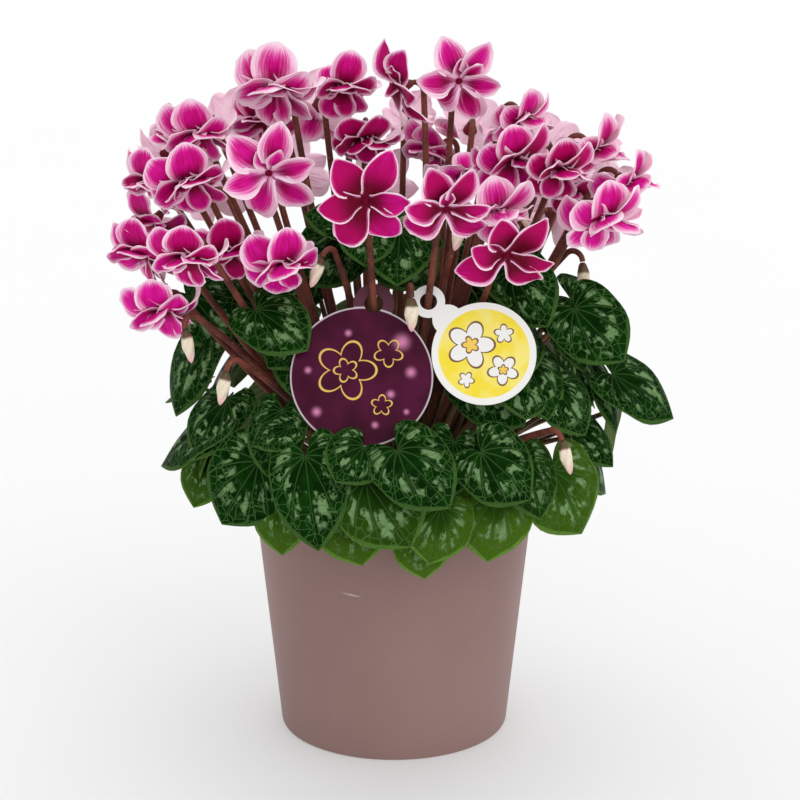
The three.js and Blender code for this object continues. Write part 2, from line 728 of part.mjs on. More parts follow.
// The first turn of a leaf that is clear of everything, or null.
function clearLeaf(row) {
  for (const turn of LEAF_TURNS) {
    const leaf = leafShape(row, turn);
    const points = samples(leaf.corner, ...LEAF.samples);
    if (isClear(points, nearTo(leaf.joint, LEAF.reach))) return leaf;
  }
  return null;
}

function clearStalk(leaf) {
  for (const way of STALK_WAYS) {
    const stalk = stalkCurve(leaf, way);
    if (isClear(stalk.getPoints(STALK.samples), obstacles, STALK_CLEAR)) return stalk;
  }
  return null;
}

function leafSolids() {
  const bodies = [];
  for (const row of [...FRONT_LEAVES, ...backLeaves()]) {
    const leaf = clearLeaf(row);
    const stalk = leaf && clearStalk(leaf);
    if (!stalk) continue;
    bodies.push(solid(bentPlate(leaf.corner, 2, LEAF.rows)));
    bodies.push(tube(stalk, STALK.radius, STALK.sides, STALK.steps));
  }
  return bodies;
}

// ---------------------------------------------------------------- the whole plant

const cyclamen = new THREE.Group();

function addPiece(name, geometry, color, roughness = 0.6) {
  const piece = new THREE.Mesh(geometry, material(color, roughness));
  piece.name = name;
  cyclamen.add(piece);
}

const numbered = (name, i) => `${name}_${String(i + 1).padStart(2, "0")}`;

addPiece("pot", potGeometry(), COLOURS.pot, 0.7);
addPiece("soil", soilGeometry(), COLOURS.soil, 1);
addPiece("corm", geometryOf(solid(turned(cormProfile(0), CORM.sides))), COLOURS.corm, 0.9);

const blooms = BLOOMS.map(bloomFrame);
const buds = BUDS.map(budParts);
blooms.forEach((bloom, i) => stemObstacles(bloom.stem, i));
buds.forEach((bud) => {
  stemObstacles(bud.stem, "bud");
  for (let i = 0; i <= 4; i++) {
    obstacles.push({
      at: bud.neck.clone().addScaledVector(bud.axis, (-bud.length * i) / 4),
      radius: BUD.radius * bud.girth,
    });
  }
});
const plum = tagParts(blooms[PLUM_STEM - 1].stem, PLUM_TAG);
const yellow = tagParts(blooms[YELLOW_STEM - 1].stem, YELLOW_TAG);
tagObstacles(PLUM_TAG, plum);
tagObstacles(YELLOW_TAG, yellow);

blooms.forEach((bloom, i) =>
  addPiece(numbered("bloom", i), geometryOf(bloomSolid(bloom, i)), COLOURS.bloom, 0.5),
);
buds.forEach((bud, i) => addPiece(numbered("bud", i), geometryOf(budSolid(bud)), COLOURS.bud, 0.6));

const crown = solid(
  new THREE.CylinderGeometry(CROWN.radius, CROWN.radius, CROWN.top - CROWN.bottom, CROWN.sides)
    .rotateX(Math.PI / 2)
    .translate(0, 0, (CROWN.top + CROWN.bottom) / 2),
);
const stemTubes = [...blooms, ...buds].map(({ stem }) =>
  tube(stem, STEM.radius, STEM.sides, STEM.steps),
);
addPiece("flower_stems", geometryOf(largest(join([crown, ...stemTubes]))), COLOURS.stem, 0.6);

const stalkRing = solid(
  turned(
    [
      [STALK_RING.inner, STALK_RING.bottom],
      [STALK_RING.outer, STALK_RING.bottom],
      [STALK_RING.outer, STALK_RING.top],
      [STALK_RING.inner, STALK_RING.top],
      [STALK_RING.inner, STALK_RING.bottom],
    ],
    STALK_RING.sides,
  ),
);
addPiece("leaves", geometryOf(largest(join([stalkRing, ...leafSolids()]))), COLOURS.leaf, 0.5);

addPiece("plum_tag", geometryOf(tagSolid(PLUM_TAG, plum)), COLOURS.plum, 0.35);
addPiece("yellow_tag", geometryOf(tagSolid(YELLOW_TAG, yellow)), COLOURS.yellow, 0.35);

export default cyclamen;
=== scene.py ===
# %% [markdown]
# # A potted cyclamen
# A miniature cyclamen with double flowers stands in a plain tapered pot. Two round tags hang on
# its flower stems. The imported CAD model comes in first, as a frame: it says where each bloom,
# leaf and stem is, and every piece made below is fitted to it.

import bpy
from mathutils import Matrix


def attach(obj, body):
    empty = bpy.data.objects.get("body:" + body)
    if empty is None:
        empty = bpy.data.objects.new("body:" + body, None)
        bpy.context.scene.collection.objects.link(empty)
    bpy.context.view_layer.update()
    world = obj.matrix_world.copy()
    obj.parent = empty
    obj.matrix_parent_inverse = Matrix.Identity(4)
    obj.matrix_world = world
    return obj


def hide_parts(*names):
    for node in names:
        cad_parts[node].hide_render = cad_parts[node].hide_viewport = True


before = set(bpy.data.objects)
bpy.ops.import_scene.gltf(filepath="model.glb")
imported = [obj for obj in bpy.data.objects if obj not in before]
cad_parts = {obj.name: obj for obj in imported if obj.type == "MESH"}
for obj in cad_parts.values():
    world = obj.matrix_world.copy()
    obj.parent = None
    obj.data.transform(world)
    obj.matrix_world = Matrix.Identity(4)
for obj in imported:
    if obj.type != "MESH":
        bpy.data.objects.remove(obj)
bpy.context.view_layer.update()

# %% [markdown]
# The plant is laid out in millimetres, as a grower's drawing would be, and Blender works in
# metres, so one number turns the first into the second. Every mesh is placed by numpy arrays,
# because a plant has thousands of points that follow a few rules.

# %% Tools of the trade
import math

import bpy
import numpy as np
from mathutils import Vector

MM = 0.001
BODY = "root"


def deselect_all():
    """Operators act on all that is selected, and loading the frame leaves its nodes selected."""
    if bpy.context.mode != "OBJECT":
        bpy.ops.object.mode_set(mode="OBJECT")
    bpy.ops.object.select_all(action="DESELECT")


def make_active(piece):
    deselect_all()
    piece.select_set(True)
    bpy.context.view_layer.objects.active = piece


def apply_modifier(piece, kind, **settings):
    make_active(piece)
    modifier = piece.modifiers.new(kind.title(), kind)
    for name, value in settings.items():
        setattr(modifier, name, value)
    bpy.ops.object.modifier_apply(modifier=modifier.name)


def points_of(mesh):
    """The mesh's points as an array with a row for each."""
    flat = np.empty(len(mesh.vertices) * 3)
    mesh.vertices.foreach_get("co", flat)
    return flat.reshape(-1, 3)


def set_points(mesh, points_mm):
    mesh.vertices.foreach_set("co", (np.asarray(points_mm) * MM).ravel())
    mesh.update()


def write_attribute(mesh, name, values):
    """A number for each point, which a material can read by its name."""
    layer = mesh.attributes.get(name) or mesh.attributes.new(name, "FLOAT", "POINT")
    numbers = np.broadcast_to(values, len(mesh.vertices)).astype(float)
    layer.data.foreach_set("value", numbers.ravel())


def read_attribute(mesh, name):
    values = np.empty(len(mesh.vertices))
    mesh.attributes[name].data.foreach_get("value", values)
    return values


def copy_of(blank, name):
    """A copy with its own mesh."""
    piece = bpy.data.objects.new(name, blank.data.copy())
    piece.data.name = name
    bpy.context.collection.objects.link(piece)
    return piece


def join_all(pieces, name):
    make_active(pieces[0])
    for piece in pieces:
        piece.select_set(True)
    bpy.ops.object.join()
    joined = bpy.context.view_layer.objects.active
    joined.name = joined.data.name = name
    return joined


def drop(piece):
    """Takes a blank away once its copies are made."""
    bpy.data.objects.remove(piece)


def finish_piece(piece, nodes, material, smooth_angle=50):
    """Smooth shading and a finish; hangs the piece on the body and hides the frame's nodes it
    stands for.
    """
    make_active(piece)
    bpy.ops.object.shade_smooth_by_angle(angle=math.radians(smooth_angle))
    piece.data.materials.clear()
    piece.data.materials.append(material)
    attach(piece, BODY)
    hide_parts(*nodes)
    return piece


print("frame nodes:", len(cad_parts))

# %% [markdown]
# ## Camera
# The photograph looks a little down on the plant from far off, so the pot's sides hardly
# converge. A long lens from 1.25 m away, 16.5 degrees above level, gives that view.

# %% Camera
VIEW = {"elevation": 16.5, "distance": 1.25, "lens": 118.1, "target": (0.0029, 0.0, 0.162)}


def add_camera():
    rise = math.radians(VIEW["elevation"])
    target = Vector(VIEW["target"])
    away = Vector((0, -math.cos(rise), math.sin(rise)))
    camera = bpy.data.cameras.new("camera")
    camera.lens = VIEW["lens"]
    camera.sensor_width = 36
    holder = bpy.data.objects.new("camera", camera)
    holder.location = target + away * VIEW["distance"]
    holder.rotation_euler = (-away).to_track_quat("-Z", "Y").to_euler()
    bpy.context.collection.objects.link(holder)
    bpy.context.scene.camera = holder
    return holder


camera = add_camera()
print("camera at", [round(v, 3) for v in camera.location])

# %% [markdown]
# ## Floor and light
# The plant stands on a plain pale floor in a white room. One wide soft light comes from above
# and behind, so that the pot's faint shadow falls towards the camera, as in the photograph. A
# second, weaker one comes from the front right and models the petals and the side of the pot.

# %% Floor and light
FLOOR_SIZE = 20.0
SKY_BRIGHTNESS = 0.75
# Where each lamp shines from, how strongly, and how wide it is in degrees.
KEY_LIGHT = {"direction_from": (0.0, 0.65, 1.0), "strength": 1.1, "softness": 80}
FRONT_LIGHT = {"direction_from": (0.55, -1.0, 0.85), "strength": 0.8, "softness": 70}


def add_floor():
    deselect_all()
    bpy.ops.mesh.primitive_grid_add(x_subdivisions=8, y_subdivisions=8, size=FLOOR_SIZE)
    floor = bpy.context.object
    floor.name = "floor"
    return floor


def add_sky_light(name, direction_from, strength, softness):
    """A sun lamp wide enough to be soft: it lights the far floor as much as the near."""
    light = bpy.data.lights.new(name, "SUN")
    light.energy = strength
    light.angle = math.radians(softness)
    holder = bpy.data.objects.new(name, light)
    holder.rotation_euler = (-Vector(direction_from)).to_track_quat("-Z", "Y").to_euler()
    bpy.context.collection.objects.link(holder)
    return holder


def light_the_room(brightness):
    world = bpy.data.worlds.new("studio")
    world.use_nodes = True
    background = world.node_tree.nodes["Background"]
    background.inputs["Color"].default_value = (1, 1, 1, 1)
    background.inputs["Strength"].default_value = brightness
    bpy.context.scene.world = world


floor = add_floor()
light_the_room(SKY_BRIGHTNESS)
add_sky_light("key_light", **KEY_LIGHT)
add_sky_light("front_light", **FRONT_LIGHT)
bpy.context.scene.view_settings.view_transform = "Standard"

# %% [markdown]
# ## Material helpers
# Each finish below is a small graph of nodes. These helpers add a node, feed its inputs with a
# number or another node's output, and return its output, so that a graph reads like a formula.

# %% Material helpers


def new_material(name, roughness, **settings):
    """A Principled material; what is the same all over is set on the shader's own inputs."""
    material = bpy.data.materials.new(name)
    material.use_nodes = True
    shader = material.node_tree.nodes["Principled BSDF"]
    shader.inputs["Roughness"].default_value = roughness
    for label, value in settings.items():
        shader.inputs[label.replace("_", " ")].default_value = value
    return material, material.node_tree, shader


def feed(tree, socket, value):
    if isinstance(value, bpy.types.NodeSocket):
        tree.links.new(value, socket)
    elif isinstance(value, tuple):
        socket.default_value = (*value, 1.0) if len(value) < len(socket.default_value) else value
    else:
        socket.default_value = value


def maths(tree, operation, *values):
    node = tree.nodes.new("ShaderNodeMath")
    node.operation = operation
    for socket, value in zip(node.inputs, values):
        feed(tree, socket, value)
    return node.outputs[0]


def times(tree, a, b):
    return maths(tree, "MULTIPLY", a, b)


def flat_distance(tree, x, y):
    """How far the point x, y is from 0, 0."""
    return maths(tree, "SQRT", maths(tree, "ADD", times(tree, x, x), times(tree, y, y)))


def mixed(tree, share, a, b):
    """Colour a where share is 0 and colour b where it is 1."""
    node = tree.nodes.new("ShaderNodeMix")
    node.data_type = "RGBA"
    feed(tree, node.inputs[0], share)
    feed(tree, node.inputs[6], a)
    feed(tree, node.inputs[7], b)
    return node.outputs[2]


def step_between(tree, value, low, high):
    """0 below low, 1 above high, and a smooth slope between."""
    node = tree.nodes.new("ShaderNodeMapRange")
    node.interpolation_type = "SMOOTHSTEP"
    for socket, number in zip(node.inputs, (value, low, high, 0.0, 1.0)):
        feed(tree, socket, number)
    return node.outputs[0]


def painted(tree, name):
    """The number written on each point under that name."""
    node = tree.nodes.new("ShaderNodeAttribute")
    node.attribute_name = name
    return node.outputs["Fac"]


def place(tree, x, y, z):
    node = tree.nodes.new("ShaderNodeCombineXYZ")
    for socket, value in zip(node.inputs, (x, y, z)):
        feed(tree, socket, value)
    return node.outputs[0]


def parts_of(tree, at):
    node = tree.nodes.new("ShaderNodeSeparateXYZ")
    feed(tree, node.inputs[0], at)
    return node.outputs


def object_place(tree):
    return tree.nodes.new("ShaderNodeTexCoord").outputs["Object"]


def noise(tree, at, scale, detail=2.0, rough=0.5):
    node = tree.nodes.new("ShaderNodeTexNoise")
    feed(tree, node.inputs["Vector"], at)
    node.inputs["Scale"].default_value = scale
    node.inputs["Detail"].default_value = detail
    node.inputs["Roughness"].default_value = rough
    return node.outputs["Fac"]


def cell_edges(tree, at, scale):
    """How far a point is from the nearest border of a net of cells."""
    node = tree.nodes.new("ShaderNodeTexVoronoi")
    node.feature = "DISTANCE_TO_EDGE"
    feed(tree, node.inputs["Vector"], at)
    node.inputs["Scale"].default_value = scale
    return node.outputs["Distance"]


def bumped(tree, height, depth, strength):
    node = tree.nodes.new("ShaderNodeBump")
    node.inputs["Distance"].default_value = depth
    node.inputs["Strength"].default_value = strength
    feed(tree, node.inputs["Height"], height)
    return node.outputs["Normal"]


def wear(tree, shader, colour, relief=None):
    """Gives the shader its finished colour, and its relief if it has one."""
    tree.links.new(colour, shader.inputs["Base Color"])
    if relief is not None:
        tree.links.new(relief, shader.inputs["Normal"])


print("material helpers ready")

# %% [markdown]
# ## The plan of the plant
# These are the same sizes and rules that the CAD solids follow, in millimetres. Directions are
# given as on a map: a heading of 0 looks along +X and -90 looks at the camera.

# %% Directions
GAP = 0.3  # between pieces that touch


def unit(v):
    return v / np.linalg.norm(v)


def square_to(v, axis):
    """The part of v square to an axis, at unit length."""
    return unit(v - axis * (v @ axis))


def direction(heading, rise):
    h, r = math.radians(heading), math.radians(rise)
    return np.array((math.cos(r) * math.cos(h), math.cos(r) * math.sin(h), math.sin(r)))


def turned_about_z(v, degrees):
    c, s = math.cos(math.radians(degrees)), math.sin(math.radians(degrees))
    return np.array((c * v[0] - s * v[1], s * v[0] + c * v[1], v[2]))


print("towards the camera:", direction(-90, 0).round(3))

# %% [markdown]
# Each bloom is a row of numbers: where its hub is, which way its mouth looks on the map, how far
# it nods, how far its petals fold back, its size, how pale its margins and how deep its colour
# are, and how many small extra petals crowd its heart. The list goes from the left of the
# photograph to the right, and the last six stand behind.

# %% Blooms and buds
# x, y, z, heading, dip, fold, size; pale and deep from 0 to 1; petals in its heart.
BLOOMS = (
    (-49, -62, 243, -80, 51, 53, 1.05, 0.44, 0.05, 1),
    (-75, -44, 244, -75, 47, 48, 1.0, 0.3, 0.5, 1),
    (-90, -74, 249, -110, 49, 50, 1.0, 0.42, 0.4, 1),
    (-113, -34, 241, -140, 39, 33, 1.05, 0.42, 0.3, 0),
    (-103, -56, 220, -100, 52, 50, 1.0, 0.5, 0.0, 1),
    (-91, -45, 277, -80, 47, 43, 1.1, 0.42, 0.4, 2),
    (-108, -18, 270, -150, 44, 43, 1.0, 0.4, 0.6, 1),
    (-112, 4, 248, -150, 49, 43, 0.9, 0.36, 0.5, 0),
    (-88, -15, 293, -100, 54, 56, 1.05, 0.62, 0.2, 1),
    (-100, 17, 285, 150, 44, 43, 0.85, 0.58, 0.3, 1),
    (-54, -6, 312, -110, 41, 53, 1.2, 0.85, 0.2, 2),
    (-62, 26, 290, -130, 39, 38, 0.9, 0.52, 0.6, 0),
    (-55, -59, 284, -90, 12, 18, 1.1, 0.75, 0.2, 2),
    (-36, 36, 296, 100, 54, 53, 1.1, 0.92, 0.0, 0),
    (-24, 8, 310, -95, 39, 50, 1.0, 0.5, 0.5, 2),
    (3, -6, 313, -150, 15, 20, 1.05, 0.36, 0.7, 1),
    (30, 0, 315, -80, 15, 22, 1.1, 0.75, 0.4, 2),
    (-13, 4, 287, -90, 58, 35, 0.95, 0.3, 0.8, 0),
    (-12, -85, 277, -90, 12, 10, 1.1, 0.2, 0.6, 0),
    (7, 60, 287, 80, 49, 48, 0.75, 0.85, 0.1, 0),
    (23, -84, 273, -80, 25, 18, 1.05, 0.4, 0.6, 1),
    (46, -50, 264, -75, 47, 48, 1.05, 0.95, 0.0, 3),
    (50, -70, 249, -85, 28, 12, 1.1, 0.24, 0.8, 0),
    (54, -28, 283, -70, 47, 50, 1.1, 0.46, 0.5, 1),
    (32, -11, 274, -60, 50, 48, 0.95, 0.88, 0.0, 3),
    (36, 30, 286, 100, 50, 40, 1.05, 0.95, 0.1, 1),
    (20, 34, 275, -140, 39, 33, 0.95, 0.64, 0.2, 1),
    (60, 20, 293, -60, 49, 53, 0.9, 0.75, 0.2, 1),
    (92, 0, 282, -40, 51, 58, 1.05, 0.75, 0.3, 1),
    (75, -30, 279, -80, 47, 46, 1.0, 0.46, 0.6, 0),
    (93, -58, 263, -70, 51, 56, 1.15, 0.64, 0.0, 3),
    (82, 6, 261, -110, 44, 38, 0.8, 0.42, 0.6, 1),
    (106, -16, 270, -30, 47, 48, 0.95, 0.6, 0.1, 1),
    (74, 46, 274, 90, 40, 40, 0.9, 0.92, 0.1, 0),
    (-74, 50, 285, 100, 40, 40, 1.0, 0.92, 0.2, 0),
    (-110, 40, 272, 150, 40, 40, 0.9, 0.92, 0.2, 0),
    (-90, 66, 248, 130, 30, 30, 0.95, 0.6, 0.2, 0),
    (100, 44, 252, 55, 30, 30, 0.95, 0.55, 0.3, 0),
    (46, 70, 256, 80, 30, 30, 1.0, 0.5, 0.4, 0),
    (-50, 82, 256, 105, 30, 30, 1.0, 0.6, 0.2, 0),
    (-6, 90, 246, 95, 20, 20, 1.0, 0.55, 0.3, 0),
    (78, 76, 236, 60, 25, 25, 0.95, 0.5, 0.4, 0),
)
PLUM_STEM = 19  # the stem that carries the plum tag, counted from 1
YELLOW_STEM = 21

# Neck x, y, z; tip offset x, y, z; girth.
BUDS = (
    (-93, -68, 215, 3, -3, -15, 0.9),
    (-79, -28, 244, 2, -2, -12, 0.85),
    (-32, -56, 245, -5, -4, -13, 0.9),
    (8, -70, 230, 0, -3, -15, 1.0),
    (30, -62, 261, -3, -3, -11, 0.85),
    (58, -20, 262, 3, -3, -11, 0.8),
    (86, -36, 238, 1, -3, -18, 0.95),
    (90, -50, 213, 1, -3, -15, 0.9),
    (-74, -80, 199, -3, -3, -15, 0.95),
    (75, -84, 168, 4, -3, -15, 0.9),
)
STEM = {"radius": 1.9, "root_z": 118, "root_radius": 4, "root_spread": 8, "hook": 5}
BLOOM_STEM = {"bow": 8, "at": 0.45}
BUD_STEM = {"bow": -9, "at": 0.66}
WIDEST_HEAD = 118  # the bloom farthest from the middle
HUB = {"length": 6, "radius": 3.2}
PETAL_COUNT = 6  # and each has its own small difference in fold and length
print("blooms:", len(BLOOMS), "buds:", len(BUDS))

# %% [markdown]
# ### How a stem runs
# A flower stem leaves the crown, rises with a slight bow, and hooks over in a tight arc, so that
# the bloom or bud hangs its head. The shaft is a curve with one handle, and the hook is part of
# a circle.

# %% Stem paths
RANDOM_FACTOR = 48271
RANDOM_MODULUS = 2147483647
PETAL_SEED = 5


def stem_path(neck, axis, rule):
    away = math.hypot(neck[0], neck[1])
    r = STEM["root_radius"] + STEM["root_spread"] * away / WIDEST_HEAD
    root = np.array((r * neck[0] / away, r * neck[1] / away, STEM["root_z"]))
    way = neck - root
    outward = unit(way * (1, 1, 0))
    bow = root + way * rule["at"] + outward * rule["bow"]
    end = neck + axis * GAP
    rise = unit(end - bow)
    over = square_to(-axis, rise)
    turn = math.acos(max(-1.0, min(1.0, rise @ -axis)))
    start = end - rise * STEM["hook"] * math.sin(turn) + over * STEM["hook"] * (math.cos(turn) - 1)
    return {
        "root": root, "start": start, "rise": rise, "over": over, "turn": turn,
        "bend": start - rise * np.linalg.norm(start - bow),
        "centre": start + over * STEM["hook"],
    }


def along_stem(path, t):
    """Points at shares t of a stem: the shaft up to a half, and the hook after it."""
    t = np.atleast_1d(np.asarray(t, float))[:, None]
    u = np.minimum(2 * t, 1)
    shaft = (1 - u) ** 2 * path["root"] + 2 * (1 - u) * u * path["bend"] + u**2 * path["start"]
    angle = path["turn"] * (2 * t - 1)
    around = np.sin(angle) * path["rise"] - np.cos(angle) * path["over"]
    hook = path["centre"] + STEM["hook"] * around
    return np.where(t < 0.5, shaft, hook)


def seeded(seed):
    """Repeatable random numbers from 0 to 1."""
    state = seed
    while True:
        state = (state * RANDOM_FACTOR) % RANDOM_MODULUS
        yield state / RANDOM_MODULUS


petal_random = seeded(PETAL_SEED)


def spread_pair():
    """Two numbers from -1 to 1, for a petal's own fold and length."""
    return 2 * next(petal_random) - 1, 2 * next(petal_random) - 1


def bloom_plan(row):
    hub = np.array(row[:3], float)
    axis = -direction(row[3], -row[4])
    neck = hub + axis * HUB["length"]
    stem = stem_path(neck, axis, BLOOM_STEM)
    side = square_to(stem["root"] - hub, axis)
    return {
        "hub": hub, "axis": axis, "side": side, "across": np.cross(axis, side),
        "stem": stem, "dip": row[4], "fold": row[5], "size": row[6],
        "pale": row[7], "deep": row[8], "hearts": row[9],
        "spreads": [spread_pair() for _ in range(PETAL_COUNT)],
    }


def bud_plan(row):
    neck = np.array(row[:3], float)
    reach = np.array(row[3:6], float)
    axis = -unit(reach)
    return {
        "neck": neck, "axis": axis, "length": np.linalg.norm(reach), "girth": row[6],
        "stem": stem_path(neck, axis, BUD_STEM),
    }


blooms = [bloom_plan(row) for row in BLOOMS]
buds = [bud_plan(row) for row in BUDS]
print("first stem from", blooms[0]["stem"]["root"].round(1), "to", blooms[0]["hub"])

# %% [markdown]
# ### How a petal lies
# A petal leaves the hub square to the bloom's axis and folds back on its way out. s runs from 0
# at its root to 1 at its tip, w from -1 to 1 across it, and side is -1 on the face that looks out
# of the mouth and 1 on the face towards the stem. Most petals are broad; two are shorter and
# fold back less, as if a second ring showed between the first.

# %% Petal rule
PETAL = {
    "length": 18.5, "half_width": 8.2, "widest": 0.6, "claw": 0.3, "sector": 0.93,
    "thickness": 0.7, "root_lift": -9, "twist": 12, "cup": 0.1, "ease_in": 0.3, "reach": 62,
    "sweep": 1.1, "least_fold": 6, "fold_spread": 12, "length_spread": 0.07, "root": HUB["radius"],
    "point": 0.0,
}
BROAD = {"lift": 0, "fold": 0, "size": 1}
SHORT = {"lift": -22, "fold": -20, "size": 0.84}
PETALS = (BROAD, SHORT, BROAD, BROAD, SHORT, BROAD)
STEM_ROOM = {"nodding": 52, "upright": 32, "from_dip": 25}  # degrees left free for the stem


def stem_room(bloom):
    return STEM_ROOM["nodding" if bloom["dip"] >= STEM_ROOM["from_dip"] else "upright"]


def petal_width(s, widest, claw, point):
    opened = np.minimum(1, s / widest)
    tip = np.maximum(0, (s - widest) / (1 - widest))
    blunt = (claw + (1 - claw) * opened**2 * (3 - 2 * opened)) * np.sqrt(1 - 0.7 * tip**2.4)
    return blunt * (1 - point * tip**2)


def petal_points(bloom, petal, s, w, side, form, sector=None, ruffle=0.0):
    """Places points of a petal of the bloom; the petal has an angle, a kind, a spread, a bend."""
    kind, spread = petal["kind"], petal["spread"]
    added, share = petal["bend"]
    turn = math.radians(petal["angle"])
    outward = bloom["side"] * math.cos(turn) + bloom["across"] * math.sin(turn)
    around = np.cross(bloom["axis"], outward)
    length = form["length"] * bloom["size"] * kind["size"] * share
    length *= 1 + spread[1] * form["length_spread"]
    half = form["half_width"] * bloom["size"] * kind["size"] * math.sqrt(share)
    lift = math.radians(form["root_lift"] + kind["lift"])
    sweep = form["sweep"] * bloom["fold"] * (1 + math.cos(turn)) / 2
    fold = bloom["fold"] + kind["fold"] + sweep + spread[0] * form["fold_spread"] + added
    bend = math.radians(max(form["least_fold"], fold)) - lift
    ease = np.minimum(1, s / form["ease_in"])
    twist = math.radians(form["twist"]) * ease
    tilt = (lift + bend * s) * ease
    out = form["root"] + length * (np.sin(lift + bend * s) - math.sin(lift)) / bend
    back = length * (math.cos(lift) - np.cos(lift + bend * s)) / bend
    wide = half * petal_width(s, form["widest"], form["claw"], form["point"])
    if sector is not None:
        wide = np.minimum(wide, sector * out)
    thick = side * form["thickness"] / 2
    cup = form["cup"] * wide * w * w * ease
    raised = w * wide * np.sin(twist) - cup + thick * np.cos(twist) + ruffle
    sideways = w * wide * np.cos(twist) - thick * np.sin(twist)
    return (
        bloom["hub"]
        + (out - raised * np.sin(tilt))[:, None] * outward
        + (back + raised * np.cos(tilt))[:, None] * bloom["axis"]
        + sideways[:, None] * around
    )


def even_points(along, across):
    """s and w of points spread evenly over a plate."""
    lengthways, crossways = np.arange(along + 1) / along, 2 * np.arange(across + 1) / across - 1
    s, w = np.meshgrid(lengthways, crossways, indexing="ij")
    return s.ravel(), w.ravel()


print("petals on a bloom:", len(PETALS))

# %% [markdown]
# ### Keeping things apart
# In a crowded plant every petal and leaf gives way to what is there before it. Each piece leaves
# a trail of points with a radius, and the next one tries a list of ways to bend or turn until
# it is clear of them all.

# %% Obstacles
CLEAR = 2.1
STALK_CLEAR = 1.8
INNER_CLEAR = 1.0
PETAL_BENDS = (
    (0, 1), (14, 1), (-14, 1), (28, 0.95), (-26, 0.92), (0, 0.82), (24, 0.8), (42, 0.82),
    (-24, 0.76), (0, 0.66), (30, 0.62), (55, 0.6), (70, 0.4),
)
SHAFT_TIMES = np.arange(36) / 72
HOOK_TIMES = (1 + np.arange(7) / 6) / 2
OWN_HOOK_FROM = 0.75  # a bloom's petals may come near this end of its own stem
BUD_ROOM = 3.6
NO_BLOOM = -1
taken = {"at": np.empty((0, 3)), "radius": np.empty(0), "bloom": np.empty(0, int)}


def take_place(points, radius, bloom=NO_BLOOM):
    """Marks a place as taken; bloom is the number of the bloom that it is a part of."""
    points = np.atleast_2d(points)
    taken["at"] = np.vstack((taken["at"], points))
    taken["radius"] = np.append(taken["radius"], np.full(len(points), float(radius)))
    taken["bloom"] = np.append(taken["bloom"], np.broadcast_to(bloom, len(points)))


def is_clear(points, near, clearance=CLEAR):
    gaps = ((points[:, None, :] - taken["at"][near][None, :, :]) ** 2).sum(axis=2)
    return bool((gaps > (clearance + taken["radius"][near]) ** 2).all())


def near_to(point, reach):
    return np.linalg.norm(taken["at"] - point, axis=1) < reach


def near_bloom(number, bloom):
    """What is taken near a bloom by anything but its own parts."""
    return near_to(bloom["hub"], PETAL["reach"]) & (taken["bloom"] != number)


def take_stem_place(stem, owners=NO_BLOOM):
    take_place(along_stem(stem, SHAFT_TIMES), STEM["radius"])
    take_place(along_stem(stem, HOOK_TIMES), STEM["radius"], owners)


for number, bloom in enumerate(blooms):
    take_stem_place(bloom["stem"], np.where(HOOK_TIMES > OWN_HOOK_FROM, number, NO_BLOOM))
for bud in buds:
    take_stem_place(bud["stem"])
    down = bud["axis"] * (-bud["length"] * np.arange(5) / 4)[:, None]
    take_place(bud["neck"] + down, BUD_ROOM * bud["girth"])
print("points taken by stems and buds:", len(taken["at"]))

# %% [markdown]
# ### Where the tags hang
# Each tag is a disc with a ring. The ring is threaded on a flower stem, and the disc leans out
# on the leaves below it.

# %% Tag places
TAG = {"ring_z": 224.5, "lean": 28, "thickness": 0.8, "step": 0.002, "pitch": 4}
PLUM_TAG = {"radius": 32, "ring": 9.2, "hole": 4.3, "to_ring": 34, "turn": -9, "shoulder": 8}
YELLOW_TAG = {
    "radius": 23.5, "ring": 7.5, "hole": 3.9, "to_ring": 34.5, "turn": 46, "shoulder": 7,
}


def turned_about(v, axis, degrees):
    c, s = math.cos(math.radians(degrees)), math.sin(math.radians(degrees))
    return v * c + np.cross(axis, v) * s + axis * (axis @ v) * (1 - c)


def tag_plan(stem, tag):
    share = 0.0
    while along_stem(stem, share)[0][2] < TAG["ring_z"]:
        share += TAG["step"]
    face = direction(-90, TAG["lean"])
    up = direction(90, 90 - TAG["lean"])
    to_ring = turned_about(up, face, tag["turn"])
    before, after = along_stem(stem, share - 1e-4)[0], along_stem(stem, share + 1e-4)[0]
    slack = tag["hole"] - STEM["radius"] / abs(unit(after - before) @ face) - 2 * GAP
    ring = along_stem(stem, share)[0] - up * slack
    return {
        "ring": ring, "centre": ring - to_ring * tag["to_ring"],
        "face": face, "up": up, "right": np.cross(up, face), "to_ring": to_ring,
    }


def take_tag_place(tag, plan):
    steps = np.arange(-tag["radius"], tag["radius"] + 1e-9, TAG["pitch"])
    u, v = (a.ravel() for a in np.meshgrid(steps, steps))
    inside = np.hypot(u, v) <= tag["radius"]
    spots = plan["centre"] + u[inside, None] * plan["right"] + v[inside, None] * plan["up"]
    take_place(spots, TAG["thickness"])
    take_place(plan["ring"], tag["ring"])


plum = tag_plan(blooms[PLUM_STEM - 1]["stem"], PLUM_TAG)
yellow = tag_plan(blooms[YELLOW_STEM - 1]["stem"], YELLOW_TAG)
take_tag_place(PLUM_TAG, plum)
take_tag_place(YELLOW_TAG, yellow)
print("plum tag centre:", plum["centre"].round(1), "yellow:", yellow["centre"].round(1))

# %% [markdown]
# Each petal now takes the first bend that keeps it clear of the stems and of the blooms before
# it. Most need none.

# %% Bends of the petals
PETAL_TRAIL = (5, 4)


